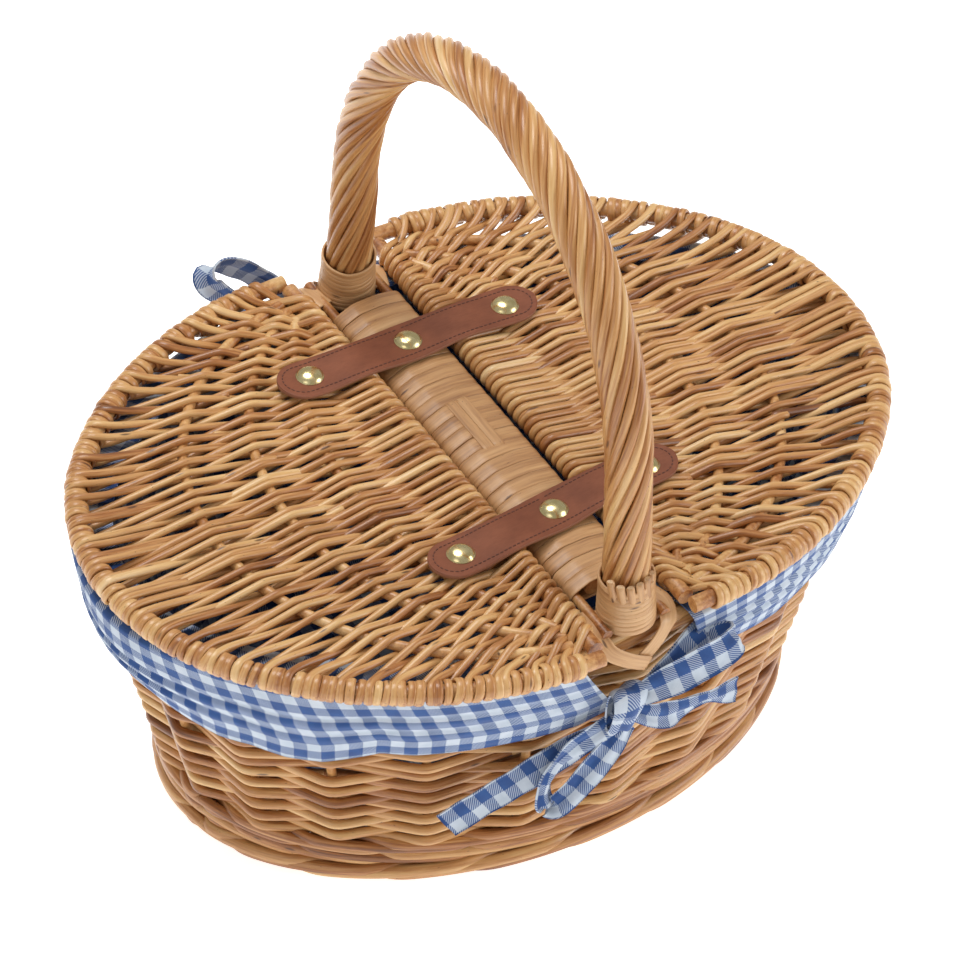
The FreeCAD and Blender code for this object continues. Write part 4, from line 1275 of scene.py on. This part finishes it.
# Each ribbon: along, out, up from the knot, its width, and how far it is twisted in degrees.
HANGING_LOOP = (
    (-8, 2, -11, 9, 0), (-15, 3.6, -18.5, 11.5, 0), (-22, 3.8, -26.5, 12.5, 5),
    (-30, 3.0, -36, 12, 10), (-37, 1.6, -44.5, 11, 15), (-41.5, -0.5, -50.0, 11, 20),
    (-44.5, -2.5, -50.5, 10.6, 30), (-46.5, -4.0, -46, 10, 40), (-46, -4.6, -38, 10.5, 45),
    (-42.5, -4.2, -29.5, 11.5, 40), (-35, -3, -21, 12, 25), (-25, -1, -14.5, 11.5, 10),
    (-12, 0, -9, 9, 0),
)
FRONT_LOOP = (
    (-4, 1.5, 3, 9, 0), (5, 4.8, 8.4, 13, -6), (16, 7.4, 12.6, 15.4, -4), (30, 8.4, 16.6, 15.8, 4),
    (41, 7.8, 18.6, 15.4, 0), (47.0, 5.2, 19.6, 14, 0), (47.6, 1.8, 19.4, 14, 0),
    (42, -0.6, 18.0, 14, 0), (30, -1.0, 14.0, 13, 5), (16, -0.6, 7.6, 11, 0), (3, 0, 0, 9, 0),
)
BACK_LOOP = (
    (-2, 2, 1, 8, 0), (8, 4.4, 10, 11, 0), (20, 7.6, 25, 13, 0), (34, 10, 41, 14, 0),
    (48, 12, 52, 14, 0), (56, 12.6, 53.5, 14, 0), (60, 12, 49, 14, 0), (56.5, 10.5, 41, 14, 0),
    (43, 8, 28, 13, 0), (24, 5, 12, 11, 0), (5, 0, 0, 8, 0),
)
LOOPS = {"front": (FRONT_LOOP, HANGING_LOOP), "back": (BACK_LOOP, HANGING_LOOP)}
SHORT_TAIL = (
    (-2, 0.5, -8, 8, 0), (6, 2.0, -12.5, 10.5, 0), (15, 1.5, -16.4, 12, 0),
    (25, -0.8, -18.6, 10.5, 25), (34, -3.0, -20.4, 9, 45), (44, -4.8, -23.0, 9.5, 35),
    (53, -6.2, -26.0, 12, 15), (58, -7.0, -27.6, 12.5, 5),
)
LONG_TAIL = (
    (-9, 0, -10, 8, 0), (-18, -1.5, -14.5, 11, 0), (-30, -4, -19.5, 13, 0), (-43, -8, -28.4, 14, 4),
    (-57, -12.5, -38.6, 14, 0), (-70.5, -18.4, -50, 14, -4), (-85.0, -24.8, -63.2, 14, 0),
)
FROM_CUFF = (
    (36, -3.0, 20, 20, 0), (27, -1.0, 18.4, 17, 0), (16, 1.0, 13.6, 14, 0), (5, 2.0, 7.4, 12, 0),
    (-4, 1.0, 2, 10, 0),
)
TIE_THICKNESS = 1.0
RIBBON_LEAN = math.radians(28)


def by_knot(side, along, out, up):
    """Points in the frame, from where they lie beside the knot of the front or back bow."""
    return np.stack([-side * along, side * (KNOT_OUT + out), KNOT_HEIGHT + up], axis=2)


def ribbon(cloth, controls, side, start, ripple=0.5):
    """Length of tie run smoothly through its controls. Start is its place along the flat cloth."""
    path = smooth_path(controls, 1.6)
    spot, width, turn = path[:, :3], path[:, 3], np.radians(path[:, 4])
    tangent = unit(np.gradient(spot, axis=0))
    far = spot[np.argmax(np.linalg.norm(spot - spot[0], axis=1))] - spot[0]
    outward = np.array([0.0, 1.0, 0.0])
    upward = unit(np.cross(far, outward))
    upward *= np.sign(upward[2])
    width_way = math.cos(RIBBON_LEAN) * upward - math.sin(RIBBON_LEAN) * outward
    flat = unit(width_way - (tangent @ width_way)[:, None] * tangent)
    face = np.cross(flat, tangent)
    across = np.cos(turn)[:, None] * flat + np.sin(turn)[:, None] * face
    normal = unit(np.cross(tangent, across))
    share = np.linspace(-0.5, 0.5, 9)
    along = lengths(spot)
    squeeze = np.clip(1 - width / TIE, 0, 1)[:, None]
    wave = np.cos(share * 2 * math.pi * 1.5 + along[:, None] * 0.06)
    lift = (ripple + 2.2 * squeeze) * wave + 0.35 * np.sin(along[:, None] * 0.33 + share * 4)
    flat_grid = spot[:, None] + across[:, None] * (width[:, None] * share)[..., None]
    grid = flat_grid + normal[:, None] * lift[..., None]
    full = np.maximum(width, TIE)[:, None] * share
    place = np.dstack([start + along[:, None] + 0 * share, full])
    cloth.add(by_knot(side, grid[..., 0], grid[..., 1], grid[..., 2]), place, TIE_THICKNESS)


def make_bow(side, word):
    """Bow tied below a handle foot. The back one is the front one turned half round."""
    loops, tails, knot = Cloth(), Cloth(), Cloth()
    for number, controls in enumerate(LOOPS[word]):
        ribbon(loops, controls, side, 40.0 * number + 3)
    ribbon(tails, SHORT_TAIL, side, 0.0, 0.25)
    ribbon(tails, LONG_TAIL, side, 31.0, 0.25)
    ribbon(tails, FROM_CUFF, side, 62.0, 0.9)
    turn = np.linspace(0, 2 * math.pi, 40, endpoint=False)
    share = np.linspace(-0.5, 0.5, 13)
    pinch = np.cos(share * math.pi) ** 0.5
    bulge = 1 + 0.08 * np.sin(3 * turn)[:, None] + 0.1 * np.cos(share * 9 + turn[:, None] * 2)
    out = 1.0 + 5.8 * np.cos(turn)[:, None] * (0.55 + 0.45 * pinch) * bulge
    up = -1 + 13.0 * np.sin(turn)[:, None] * (0.7 + 0.3 * pinch) * bulge
    along = -9.0 + 15.5 * share * (1 + 0.12 * np.sin(turn)[:, None]) + 2.2 * np.sin(turn)[:, None]
    place = np.dstack(np.broadcast_arrays(turn[:, None] * 9.0 + 4, share * 15 + 3))
    knot.add(by_knot(side, along, out, up), place, TIE_THICKNESS, closed=True)
    for kind, cloth in (("loops", loops), ("tails", tails), ("knot", knot)):
        item = cloth.make(f"bow_{word}_{kind}_cloth", GINGHAM)
        settle(item, "basket", "gingham", f"bow_{word}_{kind}")


make_cuff(-1, "lining_cuff_left", 81)
make_cuff(1, "lining_cuff_right", 82)
make_lining()
make_bow(-1, "front")
make_bow(1, "back")


# ---- materials of the CAD nodes that stay

for label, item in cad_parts.items():
    if "washers" in label:
        material = ZINC
    elif "hinge_rod" in label or label == "bridge_rods":
        material = RED_WILLOW
    else:
        material = PLAIN_WILLOW
    item.data.materials.clear()
    item.data.materials.append(material)
